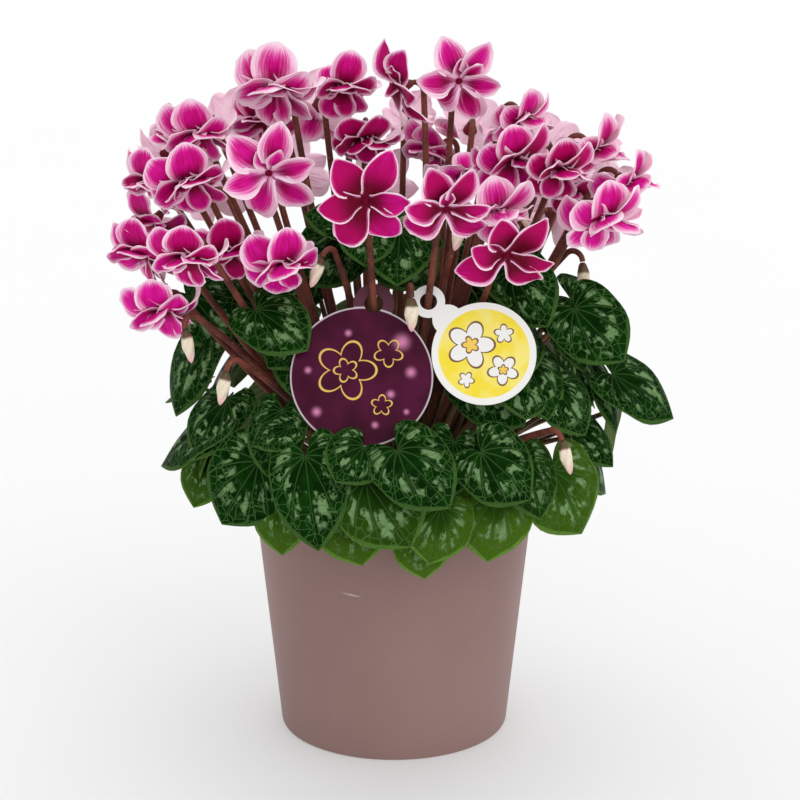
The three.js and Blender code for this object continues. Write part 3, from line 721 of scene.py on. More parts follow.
def settle_bloom(number, bloom):
    room = stem_room(bloom)
    spacing = (360 - 2 * room) / (len(PETALS) - 1)
    sector = PETAL["sector"] * math.tan(math.radians(spacing / 2))
    near = near_bloom(number, bloom)
    s, w = even_points(*PETAL_TRAIL)
    petals, trails = [], []
    for i, kind in enumerate(PETALS):
        petal = {"angle": room + i * spacing, "kind": kind, "spread": bloom["spreads"][i]}
        for way in PETAL_BENDS:
            petal["bend"] = way
            trail = petal_points(bloom, petal, s, w, 0.0, PETAL, sector)
            if is_clear(trail, near):
                break
        petals.append(petal)
        trails.append(trail)
    for trail in trails:
        take_place(trail, PETAL["thickness"], number)
    return petals


for number, bloom in enumerate(blooms):
    bloom["petals"] = settle_bloom(number, bloom)
bent = sum(petal["bend"] != PETAL_BENDS[0] for bloom in blooms for petal in bloom["petals"])
print("petals bent out of the way:", bent, "of", len(blooms) * len(PETALS))

# %% [markdown]
# ### How a leaf lies
# A heart-shaped blade spreads from its joint to its tip, with two lobes beside the joint, arched
# a little and with its margins turned down. In front the leaves follow the photograph; round the
# back they stand in rows, each a little turned and shifted.

# %% Leaf rows
# Joint x, y, z; tip x, y, z; width; heading and rise of the upper face.
FRONT_LEAVES = (
    (-61, -75, 155, -78, -71, 124, 40, -105, 20),
    (-80, -52, 167, -108, -38, 141, 32, -150, 50),
    (-87, -27, 142, -94, -30, 118, 26, -120, 25),
    (-92, 12, 167, -110, 12, 157, 24, 170, 50),
    (-84, -22, 198, -97, -38, 160, 34, -130, 15),
    (-50, -46, 210, -67, -54, 196, 26, -105, 45),
    (-42, -84, 173, -58, -88, 166, 20, -95, 60),
    (-18, -92, 168, -31, -102, 155, 28, -95, 40),
    (-39, -92, 163, -33, -107, 124, 34, -95, 8),
    (-51, -78, 142, -50, -85, 114, 30, -115, 10),
    (-20, -86, 136, -14, -93, 112, 34, -90, 18),
    (-12, -96, 153, 8, -105, 125, 42, -85, 20),
    (2, -95, 167, 25, -107, 144, 36, -80, 30),
    (12, -88, 126, 14, -91, 105, 26, -85, 10),
    (21, -92, 139, 16, -99, 115, 32, -85, 12),
    (46, -80, 143, 42, -88, 112, 38, -75, 18),
    (39, -88, 164, 61, -90, 142, 36, -70, 30),
    (27, -80, 166, 21, -94, 143, 26, -80, 20),
    (72, -66, 148, 86, -64, 117, 42, -60, 15),
    (72, -53, 185, 87, -61, 163, 28, -60, 30),
    (82, -42, 163, 101, -48, 144, 24, -50, 35),
    (104, -18, 164, 101, -22, 138, 18, 150, 20),
    (101, -36, 185, 130, -31, 162, 32, -60, 45),
    (91, -24, 187, 103, -38, 157, 22, -30, 15),
    (80, -32, 195, 85, -52, 168, 24, -45, 22),
    (71, -30, 208, 80, -52, 186, 24, -60, 25),
    (82, -20, 217, 109, -15, 196, 30, -50, 40),
    (57, -16, 226, 62, -36, 212, 22, -70, 35),
    (7, -38, 248, 8, -60, 229, 30, -90, 38),
    (-13, -30, 255, -41, -27, 258, 28, -100, 58),
    (-2, -30, 252, 23, -34, 245, 30, -75, 52),
    (-21, -36, 243, -26, -52, 227, 26, -100, 35),
    (33, -72, 188, 30, -91, 175, 28, -80, 32),
    (-33, -54, 216, -38, -74, 192, 30, -105, 25),
    (-8, -66, 186, -12, -80, 162, 30, -95, 20),
    (60, -50, 196, 70, -66, 172, 30, -65, 28),
    (50, -48, 211, 58, -66, 192, 28, -60, 28),
    (-76, -48, 176, -90, -62, 152, 32, -130, 25),
    (-50, -72, 178, -56, -88, 152, 28, -110, 22),
    (58, -72, 156, 66, -82, 130, 30, -60, 20),
    (-21, -15, 246, -42, -26, 225, 34, -90, 25),
    (-4, -34, 250, 18, -44, 228, 34, -90, 25),
    (-80, 26, 207, -60, 22, 183, 34, -65, 25),
    (-95, -3, 214, -76, -13, 193, 34, -100, 28),
    (-42, 40, 219, -62, 30, 197, 34, -90, 25),
    (36, 56, 217, 18, 48, 196, 34, -90, 25),
    (54, -40, 234, 70, -56, 213, 32, -115, 25),
    (-88, 34, 214, -68, 27, 192, 32, -90, 30),
    (37, -59, 192, 59, -69, 170, 34, -90, 25),
    (-61, -57, 221, -38, -71, 206, 32, -90, 45),
    (82, -51, 220, 104, -61, 198, 34, -90, 25),
    (62, -39, 233, 42, -42, 210, 30, -112, 28),
)
BACK_ROWS = (
    {"count": 8, "from": -8, "to": 188, "radius": 86, "z": 150, "reach": 12, "drop": 32},
    {"count": 8, "from": 4, "to": 176, "radius": 78, "z": 184, "reach": 16, "drop": 28},
    {"count": 7, "from": 18, "to": 164, "radius": 58, "z": 208, "reach": 20, "drop": 22},
    {"count": 3, "from": 40, "to": 150, "radius": 32, "z": 228, "reach": 26, "drop": 12},
)
BACK_LEAF = {"width": 38, "turn": 5, "spread": 4, "rise": 28}
LEAF_SEED = 11


def back_leaves():
    draw = seeded(LEAF_SEED)

    def jitter(reach):
        return (2 * next(draw) - 1) * reach

    rows = []
    for row in BACK_ROWS:
        for i in range(row["count"]):
            step = (row["to"] - row["from"]) * i / (row["count"] - 1)
            at = math.radians(row["from"] + step + jitter(BACK_LEAF["turn"]))
            out = row["radius"] + jitter(BACK_LEAF["spread"])
            z = row["z"] + jitter(BACK_LEAF["spread"])
            end = at + math.radians(jitter(2 * BACK_LEAF["turn"]))
            tip = out + row["reach"]
            rows.append((
                out * math.cos(at), out * math.sin(at), z,
                tip * math.cos(end), tip * math.sin(end), z - row["drop"],
                BACK_LEAF["width"] + jitter(BACK_LEAF["spread"]),
                math.degrees(at), BACK_LEAF["rise"],
            ))
    return rows


leaf_rows = list(FRONT_LEAVES) + back_leaves()
print("leaves:", len(FRONT_LEAVES), "in front,", len(leaf_rows) - len(FRONT_LEAVES), "behind")

# %% [markdown]
# A leaf tries turns and heights, and then smaller sizes, until its blade is clear of the stems,
# blooms and tags; its stalk then tries ways round them from the ring on the crown. A leaf that
# finds no place is left out, as it would have grown elsewhere.

# %% Leaf and stalk rules
LEAF = {
    "lobe": 0.28, "bow": 0.09, "curl": 0.16, "reach": 70,
    "widest": 0.33, "beyond": 0.67, "fullness": 1.7,
}
LEAF_TRAIL = (8, 6)
LEAF_TURNS = [
    (turn, lift, share)
    for share in (1, 0.86, 0.72)
    for lift in (0, -4, 4, -8, 8, -14, 14)
    for turn in (0, 3, -3, 6, -6, 10, -10, 14, -14, 20, -20)
]
STALK = {
    "root_z": 117, "root_radius": 20.25, "overlap": 3, "bed": 0.7, "samples": 40, "reach": 12,
    "first_at": 0.35, "below": 8, "behind": 10,
}
STALK_WAYS = [
    (turn, arch)
    for arch in (4, -8, 16, 28, -16)
    for turn in (0, 6, -6, 12, -12, 18, -18, 25, -25, 33, -33, 42, -42, 55, -55, 75, -75)
]


def tip_width(s, fullness):
    """Half the width from the widest place of a blade to its tip."""
    far = np.maximum(s - LEAF["widest"], 0) / LEAF["beyond"]
    return np.cos((math.pi / 2) * far**fullness)


def leaf_width(s):
    near = 0.62 + 0.38 * np.sin((math.pi / 2) * s / LEAF["widest"])
    return np.where(s < LEAF["widest"], near, tip_width(s, LEAF["fullness"]))


def leaf_plan(row, way):
    turn, lift, share = way
    joint = turned_about_z(np.array((row[0], row[1], row[2] + lift), float), turn)
    reach = turned_about_z((np.array(row[3:6], float) - np.array(row[:3], float)) * share, turn)
    along = unit(reach)
    face = square_to(direction(row[7] + turn, row[8]), along)
    return {
        "joint": joint, "along": along, "face": face, "side": np.cross(face, along),
        "long": np.linalg.norm(reach), "half": row[6] * share / 2,
    }


def leaf_points(leaf, s, w, width, lobes, upper=0.0, thickness=0.0, relief=0.0):
    """Places points of a blade; lobes says how far each is drawn back beside the joint."""
    wide = leaf["half"] * width
    arch = LEAF["bow"] * leaf["long"] * np.sin(math.pi * s) - LEAF["curl"] * wide * w * w
    along = leaf["long"] * (s - LEAF["lobe"] * lobes * (1 - s))
    return (
        leaf["joint"]
        + along[:, None] * leaf["along"]
        + (w * wide)[:, None] * leaf["side"]
        + (arch + upper * thickness / 2 + relief)[:, None] * leaf["face"]
    )


def stalk_path(leaf, way):
    turn, arch = way
    away = math.atan2(leaf["joint"][1], leaf["joint"][0]) + math.radians(turn)
    r = STALK["root_radius"]
    root = np.array((r * math.cos(away), r * math.sin(away), STALK["root_z"]))
    end = leaf["joint"] + leaf["along"] * STALK["overlap"] - leaf["face"] * STALK["bed"]
    first = root + (end - root) * STALK["first_at"] + (0, 0, arch)
    second = end - leaf["face"] * STALK["below"] - leaf["along"] * STALK["behind"]
    return root, first, second, end


def along_stalk(path, t):
    t = np.asarray(t, float)[:, None]
    a, b, c, d = path
    return (1 - t) ** 3 * a + 3 * (1 - t) ** 2 * t * b + 3 * (1 - t) * t**2 * c + t**3 * d


def settle_leaf(row):
    """The first turn of the leaf and way of its stalk that are clear, or None."""
    s, w = even_points(*LEAF_TRAIL)
    for way in LEAF_TURNS:
        leaf = leaf_plan(row, way)
        near = near_to(leaf["joint"], LEAF["reach"])
        if is_clear(leaf_points(leaf, s, w, leaf_width(s), np.abs(w)), near):
            break
    else:
        return None
    steps = np.arange(STALK["samples"] + 1) / STALK["samples"]
    for way in STALK_WAYS:
        path = stalk_path(leaf, way)
        run = along_stalk(path, steps)
        low, high = run.min(axis=0) - STALK["reach"], run.max(axis=0) + STALK["reach"]
        near = ((taken["at"] > low) & (taken["at"] < high)).all(axis=1)
        if is_clear(run, near, STALK_CLEAR):
            return {**leaf, "stalk": path}
    return None


leaves = [leaf for leaf in map(settle_leaf, leaf_rows) if leaf]
print("leaves that found a place:", len(leaves), "of", len(leaf_rows))

# %% [markdown]
# ## Petals and blooms
# A petal of this kind is deep magenta on the face that looks out of the mouth, and crimson at its
# root, which is partly its own colour and partly painted shade in the heart of the bloom; it fades
# to a pale pink margin, and its back is pale pink. Every point of a petal knows how far it is from
# the margin, so the fade follows the outline whatever way the petal bends.

# %% Petal finish
MAGENTA = (0.78, 0.008, 0.36)
DEEP_MAGENTA = (0.45, 0.0, 0.105)
# the petal's own crimson at the root, with painted shade of the bloom's heart in it
ROOT_CRIMSON_AND_SHADE = (0.14, 0.0, 0.016)
WARM_PINK = (0.95, 0.23, 0.60)
PALE_PINK = (0.99, 0.77, 0.87)
PETAL_BACK = (0.98, 0.71, 0.82)
BACK_VEIN = (0.80, 0.28, 0.49)
CALYX = (0.115, 0.035, 0.03)


def petal_finish():
    material, tree, shader = new_material("petal", 0.55, Specular_IOR_Level=0.08)
    edge, along, across = (painted(tree, name) for name in ("edge", "along", "across"))
    seed, pale, deep = (painted(tree, name) for name in ("seed", "pale", "deep"))
    lengthways = place(tree, times(tree, along, 1.3), times(tree, across, 7.0), seed)
    streaks = noise(tree, lengthways, 1.6, 3.0)
    clouds = noise(tree, place(tree, along, across, seed), 2.4)

    # Towards its root a petal darkens to deep magenta and then crimson: partly its own colour,
    # partly painted shade in the heart of the bloom.
    depth = maths(tree, "MULTIPLY_ADD", along, -0.5, maths(tree, "ADD", streaks, deep))
    bright = mixed(tree, step_between(tree, depth, 0.1, 1.0), MAGENTA, DEEP_MAGENTA)
    cloudy = times(tree, step_between(tree, clouds, 0.35, 0.65), 0.5)
    middle = mixed(tree, cloudy, bright, DEEP_MAGENTA)
    shade = maths(tree, "SUBTRACT", along, times(tree, deep, 0.25))
    root = mixed(tree, step_between(tree, shade, 0.50, 0.02), middle, ROOT_CRIMSON_AND_SHADE)

    reach = maths(tree, "MULTIPLY_ADD", pale, 0.9, 0.08)
    uneven = times(tree, maths(tree, "SUBTRACT", streaks, 0.5), reach)
    from_margin = maths(tree, "ADD", edge, uneven)
    pinker = mixed(tree, step_between(tree, from_margin, pale, 0.0), root, WARM_PINK)
    half_pale = times(tree, pale, 0.62)
    fading = mixed(tree, step_between(tree, from_margin, half_pale, 0.0), pinker, PALE_PINK)
    ragged_edge = maths(tree, "MULTIPLY_ADD", streaks, 0.12, edge)
    thin_rim = times(tree, step_between(tree, ragged_edge, 0.155, 0.075), 0.8)
    front = mixed(tree, thin_rim, fading, PALE_PINK)

    veins = step_between(tree, streaks, 0.5, 0.78)
    blush = times(tree, veins, step_between(tree, edge, 0.0, 0.5))
    back = mixed(tree, blush, PETAL_BACK, BACK_VEIN)
    petal = mixed(tree, painted(tree, "back"), front, back)
    colour = mixed(tree, painted(tree, "green"), petal, CALYX)
    wear(tree, shader, colour, bumped(tree, streaks, 0.0007, 0.7))
    return material


PETAL_FINISH = petal_finish()
print("petal finish:", len(PETAL_FINISH.node_tree.nodes), "nodes")

# %% [markdown]
# A bloom has its outer petals, and then petals of its own inside: an apron before its mouth, a
# second row, and a few in its heart. Each of these is made as large as its neighbours leave room
# for. An open star has only a heart.

# %% Inner petals
FINE_PETAL = {
    **PETAL, "length": 19.6, "half_width": 9.0, "widest": 0.56, "claw": 0.66, "thickness": 0.4,
    "least_fold": -110, "cup": 0.13, "twist": 15, "root": 1.6, "point": 0.42,
}
STAR_PETAL = {
    **FINE_PETAL, "length": 21.0, "half_width": 7.4, "widest": 0.48, "claw": 0.42,
    "cup": 0.3, "point": 0.62,
}
STAR_HEART_FOLD = -18
CUPPED_FROM_DIP = 35  # a bloom that nods less is an open star
# Angle, fold and size of the petals inside a bloom.
APRON_PLACES = ((164, -64, 0.84), (-138, -48, 0.82), (112, -34, 0.80))
SECOND_ROW_PLACES = ((33, -14, 0.84), (-36, -26, 0.80), (4, -52, 0.66))
HEART_PLACES = (
    (-172, -84, 0.5), (140, -74, 0.55), (-100, -66, 0.55), (95, -80, 0.5), (30, -100, 0.45),
)
INNER_SHARES = (1, 0.88, 0.76)
INNER_LIFT = 0.35  # how much of its fold an inner petal already has at its root
INNER_TRAIL = (8, 6)


def is_cupped(bloom):
    return bloom["dip"] >= CUPPED_FROM_DIP


def petal_form(bloom):
    return FINE_PETAL if is_cupped(bloom) else STAR_PETAL


def inner_petal(bloom, angle, fold, size, near):
    """A petal with a fold of its own, as large as its neighbours leave room for, or None."""
    sweep = FINE_PETAL["sweep"] * bloom["fold"] * (1 + math.cos(math.radians(angle))) / 2
    kind = {"lift": INNER_LIFT * fold, "fold": fold - bloom["fold"] - sweep, "size": size}
    petal = {"angle": angle, "kind": kind, "spread": (0, 0), "inner": True}
    s, w = even_points(*INNER_TRAIL)
    for share in INNER_SHARES:
        petal["bend"] = (0, share)
        petal["trail"] = petal_points(bloom, petal, s, w, 0.0, petal_form(bloom))
        if is_clear(petal["trail"], near, INNER_CLEAR):
            return petal
    return None


def inner_petals(number, bloom):
    places = APRON_PLACES + SECOND_ROW_PLACES if is_cupped(bloom) else ()
    hand = -1 if number % 2 == 0 else 1  # every other bloom is the other way round
    near = near_bloom(number, bloom)
    petals = []
    for angle, fold, size in places + HEART_PLACES[: bloom["hearts"]]:
        fold = fold if is_cupped(bloom) else STAR_HEART_FOLD
        petals.append(inner_petal(bloom, hand * angle, fold, size, near))
    kept = [petal for petal in petals if petal]
    for petal in kept:
        take_place(petal["trail"], PETAL["thickness"], number)
    return kept


for number, bloom in enumerate(blooms):
    bloom["petals"] += inner_petals(number, bloom)
print("petals in all:", sum(len(bloom["petals"]) for bloom in blooms))

# %% [markdown]
# The blank for every petal is a flat grid given two faces: its length is s, its width is w and
# its two faces are the two sides. A cone behind and a ball in front make the hub, green-brown
# where it meets the stem. The blank bloom holds one petal for each place, and a copy of it is
# bent by the petal rule point by point.

# %% Blank bloom
PETAL_GRID = (10, 10)
BLANK_THICKNESS = 0.4  # only the side that a point is on counts
HUB_BACK = {"vertices": 14, "radius1": 3.3, "radius2": 1.7, "depth": 5.6, "location": (0, 0, 3.2)}
HUB_FRONT = {"segments": 14, "ring_count": 8, "radius": 2.0, "location": (0, 0, 1.0)}
HUB_PART = -1
GREEN_FROM = 0.8  # the hub is green behind this


def plate_blank(along, across):
    """A flat grid with two faces, 2 long and 2 wide."""
    deselect_all()
    bpy.ops.mesh.primitive_grid_add(x_subdivisions=along, y_subdivisions=across, size=2)
    blank = bpy.context.object
    apply_modifier(blank, "SOLIDIFY", thickness=BLANK_THICKNESS, offset=0)
    return blank


def hub_blank():
    parts = []
    for add, sizes in (
        (bpy.ops.mesh.primitive_cone_add, HUB_BACK),
        (bpy.ops.mesh.primitive_uv_sphere_add, HUB_FRONT),
    ):
        deselect_all()
        add(**sizes)
        bpy.ops.object.transform_apply(location=True, rotation=True, scale=True)
        parts.append(bpy.context.object)
    return join_all(parts, "hub")


def bloom_blank(petals):
    """A hub and flat petals in one mesh, each point with the number of its petal."""
    blank_petal, parts = plate_blank(*PETAL_GRID), []
    for i in range(petals):
        part = copy_of(blank_petal, f"petal_{i}")
        write_attribute(part.data, "part", i)
        parts.append(part)
    drop(blank_petal)
    hub = hub_blank()
    write_attribute(hub.data, "part", HUB_PART)
    return join_all([hub, *parts], "bloom_blank")


petal_counts = sorted({len(bloom["petals"]) for bloom in blooms})
blank_blooms = {count: bloom_blank(count) for count in petal_counts}
print("points of the blanks:", {n: len(blank.data.vertices) for n, blank in blank_blooms.items()})

# %% [markdown]
# The margins are drawn rounder than a plain grid gives: the tip is drawn in at its corners, and
# a slow wave and a quicker one run along the rim of every petal, each with its own start.

# %% Bend the blooms


def rim_wave(s, w, start):
    slow, quick = np.sin(5.2 * s + 2.5 * w + start), np.sin(12.0 * s - 4.0 * w + 2 * start)
    return 0.8 * np.abs(w) ** 3 * (slow + 0.45 * quick) * np.minimum(1, 1.5 * s)


def from_margin(s, w, form):
    """How far a point is from the margin: 0 on it, and about 1 on the middle line."""
    to_side = (1 - np.abs(w)) * petal_width(s, form["widest"], form["claw"], form["point"])
    to_tip = (1 - s) * form["length"] / form["half_width"]
    return np.minimum(to_side, to_tip)


def place_hub(bloom, flat):
    flat = flat * bloom["size"] ** 0.5
    return (
        bloom["hub"] + flat[:, :1] * bloom["side"] + flat[:, 1:2] * bloom["across"]
        + flat[:, 2:] * bloom["axis"]
    )


def shape_bloom(number, bloom):
    form = petal_form(bloom)
    piece = copy_of(blank_blooms[len(bloom["petals"])], f"flower_{number:02d}")
    mesh = piece.data
    flat = points_of(mesh)
    part = np.rint(read_attribute(mesh, "part"))
    points = np.empty_like(flat)
    look = {name: np.zeros(len(flat)) for name in ("along", "across", "back", "green", "seed")}
    look |= {"edge": np.ones(len(flat)), "deep": np.full(len(flat), bloom["deep"])}

    hub = part == HUB_PART
    points[hub] = place_hub(bloom, flat[hub])
    look["green"][hub] = flat[hub, 2] > GREEN_FROM
    for i, petal in enumerate(bloom["petals"]):
        mine = part == i
        s, w, side = (flat[mine, 0] + 1) / 2, flat[mine, 1], np.sign(flat[mine, 2])
        start = 7.3 * i + 2.1 * number
        drawn = s * (1 - 0.13 * np.abs(w) ** 3 * s**2)
        ruffle = rim_wave(s, w, start)
        points[mine] = petal_points(bloom, petal, drawn, w, side, form, ruffle=ruffle)
        look["edge"][mine] = from_margin(s, w, form)
        look["along"][mine], look["across"][mine] = s, w
        look["back"][mine] = 0 if petal.get("inner") else side > 0
        look["seed"][mine] = start
        look["deep"][mine] += 0.2 * math.sin(2.7 * start)
    set_points(mesh, points)
    for name, values in look.items():
        write_attribute(mesh, name, values)
    write_attribute(mesh, "pale", bloom["pale"])
    return finish_piece(
        piece, [f"bloom_{number:02d}"], PETAL_FINISH, smooth_angle=60
    )


for number, bloom in enumerate(blooms, start=1):
    shape_bloom(number, bloom)
for blank in blank_blooms.values():
    drop(blank)
print("blooms shaped:", len(blooms))

# %% [markdown]
# ## Buds
# A bud hangs point down, its petals rolled round each other in a long spindle, cream with a
# green and brown calyx. The finish reads how far down the bud a point is, and how deep it lies
# in a furrow.

# %% Bud finish
CREAM, PALE_CREAM = (0.80, 0.66, 0.47), (0.88, 0.80, 0.66)
FURROW_BROWN = (0.42, 0.27, 0.15)
PINK_TIP = (0.80, 0.42, 0.45)
CALYX_GREEN, CALYX_BROWN = (0.07, 0.085, 0.025), (0.13, 0.05, 0.03)


def bud_finish():
    material, tree, shader = new_material("bud", 0.55, Specular_IOR_Level=0.35)
    along, rolled = painted(tree, "along"), painted(tree, "rolled")
    blotches = noise(tree, object_place(tree), 420.0, 3.0)
    cream = mixed(tree, blotches, CREAM, PALE_CREAM)
    furrow = mixed(tree, step_between(tree, rolled, 0.35, 0.0), cream, FURROW_BROWN)
    tip = mixed(tree, step_between(tree, along, 0.55, 1.1), furrow, PINK_TIP)
    calyx = mixed(tree, step_between(tree, blotches, 0.4, 0.6), CALYX_GREEN, CALYX_BROWN)
    calyx_end = maths(tree, "ADD", along, times(tree, blotches, 0.1))
    colour = mixed(tree, step_between(tree, calyx_end, 0.36, 0.26), tip, calyx)
    wear(tree, shader, colour, bumped(tree, rolled, 0.0006, 0.7))
    return material


BUD_FINISH = bud_finish()
print("bud finish ready")

# %% [markdown]
# A ball is stretched to a spindle by a list of girths, and three furrows wind down it where the
# rolled petals meet. All the buds are copies of one ball, each along its own axis.

# %% Shape the buds
BUD_RADIUS = 3.2
BUD_PROFILE = {
    "down": (0, 0.06, 0.25, 0.5, 0.8, 0.94, 1),
    "girth": (0.3, 0.6, 0.92, 1.0, 0.62, 0.3, 0),
}
FURROWS = 3


def bud_blank():
    deselect_all()
    bpy.ops.mesh.primitive_uv_sphere_add(segments=20, ring_count=18, radius=1)
    return bpy.context.object


def shape_bud(number, bud, blank):
    piece = copy_of(blank, f"closed_bud_{number:02d}")
    flat = points_of(piece.data)
    down = (1 - flat[:, 2]) / 2
    turn = np.arctan2(flat[:, 1], flat[:, 0])
    rolled = np.abs(np.sin(FURROWS / 2 * (turn + 4 * down)))
    girth = BUD_RADIUS * bud["girth"] * np.interp(down, BUD_PROFILE["down"], BUD_PROFILE["girth"])
    girth = girth * (0.9 + 0.12 * rolled)
    side = square_to(np.array((1.0, 0.0, 0.0)), bud["axis"])
    across = np.cross(bud["axis"], side)
    around = np.cos(turn)[:, None] * side + np.sin(turn)[:, None] * across
    middle = bud["neck"] - (down * bud["length"])[:, None] * bud["axis"]
    set_points(piece.data, middle + girth[:, None] * around)
    write_attribute(piece.data, "along", down)
    write_attribute(piece.data, "rolled", rolled)
    return finish_piece(piece, [f"bud_{number:02d}"], BUD_FINISH)


blank = bud_blank()
for number, bud in enumerate(buds, start=1):
    shape_bud(number, bud, blank)
drop(blank)
print("buds shaped:", len(buds))

# %% [markdown]
# ## Flower stems
# The stems are fleshy and red-brown, greener where they leave the crown, with fine pale flecks.
# The leaf stalks have the same skin in a greener brown, so one function makes both finishes.

# %% Stem finish
STEM_RED, STEM_DARK = (0.19, 0.052, 0.034), (0.080, 0.022, 0.016)
STALK_GREEN, STALK_BROWN = (0.20, 0.13, 0.055), (0.12, 0.05, 0.03)
STEM_FOOT = (0.16, 0.12, 0.045)
STEM_FLECK = (0.45, 0.25, 0.2)


def stem_finish(name, light, dark):
    material, tree, shader = new_material(name, 0.42, Specular_IOR_Level=0.16)
    at = object_place(tree)
    blotches = noise(tree, at, 90.0, 3.0)
    flecks = noise(tree, at, 900.0, 2.0)
    colour = mixed(tree, step_between(tree, blotches, 0.35, 0.7), light, dark)
    low = mixed(tree, step_between(tree, painted(tree, "along"), 0.3, 0.0), colour, STEM_FOOT)
    fleshy = mixed(tree, times(tree, step_between(tree, flecks, 0.6, 0.75), 0.35), low, STEM_FLECK)
    wear(tree, shader, fleshy, bumped(tree, flecks, 0.0003, 0.4))
    return material


STEM_FINISH = stem_finish("flower_stem", STEM_RED, STEM_DARK)
STALK_FINISH = stem_finish("leaf_stalk", STALK_GREEN, STALK_BROWN)
print("stem finishes ready")

# %% [markdown]
# A cylinder cut into rings is laid along each path: every ring is turned just enough to stay
# square to the path, so the tube doesn't twist. A curve with a bevel would look much the same,
# but a mesh also keeps each ring's share of the path, which the finish reads.

# %% Lay tubes along paths


def tube_blank(sides, rings):
    """An upright cylinder of unit radius and length, cut into rings."""
    deselect_all()
    bpy.ops.mesh.primitive_cylinder_add(vertices=sides, radius=1, depth=1, location=(0, 0, 0.5))
    blank = bpy.context.object
    bpy.ops.object.transform_apply(location=True)
    bpy.ops.object.mode_set(mode="EDIT")
    for i in range(1, rings):
        bpy.ops.mesh.select_all(action="SELECT")
        bpy.ops.mesh.bisect(plane_co=(0, 0, i / rings), plane_no=(0, 0, 1))
    bpy.ops.object.mode_set(mode="OBJECT")
    return blank


def ring_frames(path_points):
    """For each ring of a path, two directions square to it that turn as little as they can."""
    tangents = np.gradient(path_points, axis=0)
    tangents /= np.linalg.norm(tangents, axis=1)[:, None]
    first = square_to(np.array((0.0, 1.0, 0.1)), tangents[0])
    sides = [first]
    for tangent in tangents[1:]:
        sides.append(square_to(sides[-1], tangent))
    sides = np.array(sides)
    return sides, np.cross(tangents, sides)


def lay_tube(blank, rings, path_points, radii, name):
    """A copy of the blank laid along a path, with its share of the path written on each point."""
    piece = copy_of(blank, name)
    flat = points_of(piece.data)
    ring = np.rint(flat[:, 2] * rings).astype(int)
    sides, across = ring_frames(path_points)
    spread = radii[ring][:, None] * (flat[:, :1] * sides[ring] + flat[:, 1:2] * across[ring])
    set_points(piece.data, path_points[ring] + spread)
    write_attribute(piece.data, "along", ring / rings)
    return piece


print("tubes are cut into rings and laid along paths")

# %% [markdown]
# The stems are a little thicker at the base. They all rise from one low, lobed crown on the corm,
# a flattened ball, and are joined with it into one piece.

# %% Lay the stems
CROWN = {"radius": 14.5, "middle": 117.7, "rise": 2.3}
STEM_SIDES = 9
STEM_RINGS = 24
STEM_TIMES = np.append(np.linspace(0, 0.5, 15)[:-1], np.linspace(0.5, 1, 11))
STEM_TAPER = {"at": (0, 0.3, 0.5, 1), "radius": (1.95, 1.7, 1.45, 1.25)}


def crown_piece():
    deselect_all()
    bpy.ops.mesh.primitive_uv_sphere_add(segments=28, ring_count=14, radius=1)
    piece = bpy.context.object
    flat = points_of(piece.data)
    x, y, z = flat.T
    radius = CROWN["radius"] * (1 + 0.06 * np.sin(7 * np.arctan2(y, x)))
    z = CROWN["middle"] + CROWN["rise"] * np.sign(z) * np.abs(z) ** 0.6
    set_points(piece.data, np.column_stack((radius * x, radius * y, z)))
    write_attribute(piece.data, "along", 0)
    return piece


def lay_stem(blank, stem):
    radii = np.interp(STEM_TIMES, STEM_TAPER["at"], STEM_TAPER["radius"])
    return lay_tube(blank, STEM_RINGS, along_stem(stem, STEM_TIMES), radii, "stem")


blank = tube_blank(STEM_SIDES, STEM_RINGS)
tubes = [crown_piece()] + [lay_stem(blank, plant["stem"]) for plant in blooms + buds]
drop(blank)
finish_piece(join_all(tubes, "stems"), ["flower_stems"], STEM_FINISH)
print("stems laid:", len(blooms) + len(buds))

# %% [markdown]
# ## Leaves
# The leaves are heart-shaped, dark green, with a ring of silver-grey patches between the main
# veins, a light net of small veins towards the margin, and a thin pale rim. The low leaves of
# the plant are a brighter yellow-green. The undersides are plain olive.

# %% Leaf finish
DARK_GREEN = (0.002, 0.015, 0.001)
MID_GREEN = (0.004, 0.034, 0.002)
BRIGHT_GREEN = (0.056, 0.124, 0.006)
FRESH_HEART = (0.022, 0.068, 0.004)
SILVER = (0.150, 0.262, 0.108)
LEAF_VEIN = (0.075, 0.175, 0.045)
LEAF_RIM = (0.045, 0.105, 0.022)
FRESH_RIM = (0.120, 0.240, 0.035)
LEAF_UNDERSIDE = (0.105, 0.155, 0.045)
VEIN_SPACING = math.radians(33)


def leaf_veins(tree, x, y, distance, at):
    """Where the main veins are, the space between them, and a net of small veins."""
    arching = maths(tree, "MULTIPLY_ADD", distance, 0.4, 1.0)
    heading = maths(tree, "DIVIDE", maths(tree, "ARCTAN2", y, x), VEIN_SPACING)
    turns = times(tree, heading, arching)
    aside = maths(tree, "PINGPONG", turns, 0.5)
    from_vein = times(tree, times(tree, aside, VEIN_SPACING), distance)
    main_veins = step_between(tree, from_vein, 0.030, 0.006)
    net = step_between(tree, cell_edges(tree, at, 4.4), 0.06, 0.012)
    return turns, aside, main_veins, net


def silver_patches(tree, wavering, turns, aside, distance, seed):
    """A broken ring of patches between the main veins."""
    band_start = step_between(tree, wavering, 0.40, 0.52)
    band_end = step_between(tree, wavering, 0.86, 0.70)
    ring = times(tree, band_start, band_end)
    between = step_between(tree, aside, 0.06, 0.22)
    feathers = place(tree, times(tree, turns, 1.9), times(tree, distance, 3.1), seed)
    patches = noise(tree, feathers, 1.0, 3.0, 0.55)
    return times(tree, ring, times(tree, step_between(tree, patches, 0.47, 0.58), between))


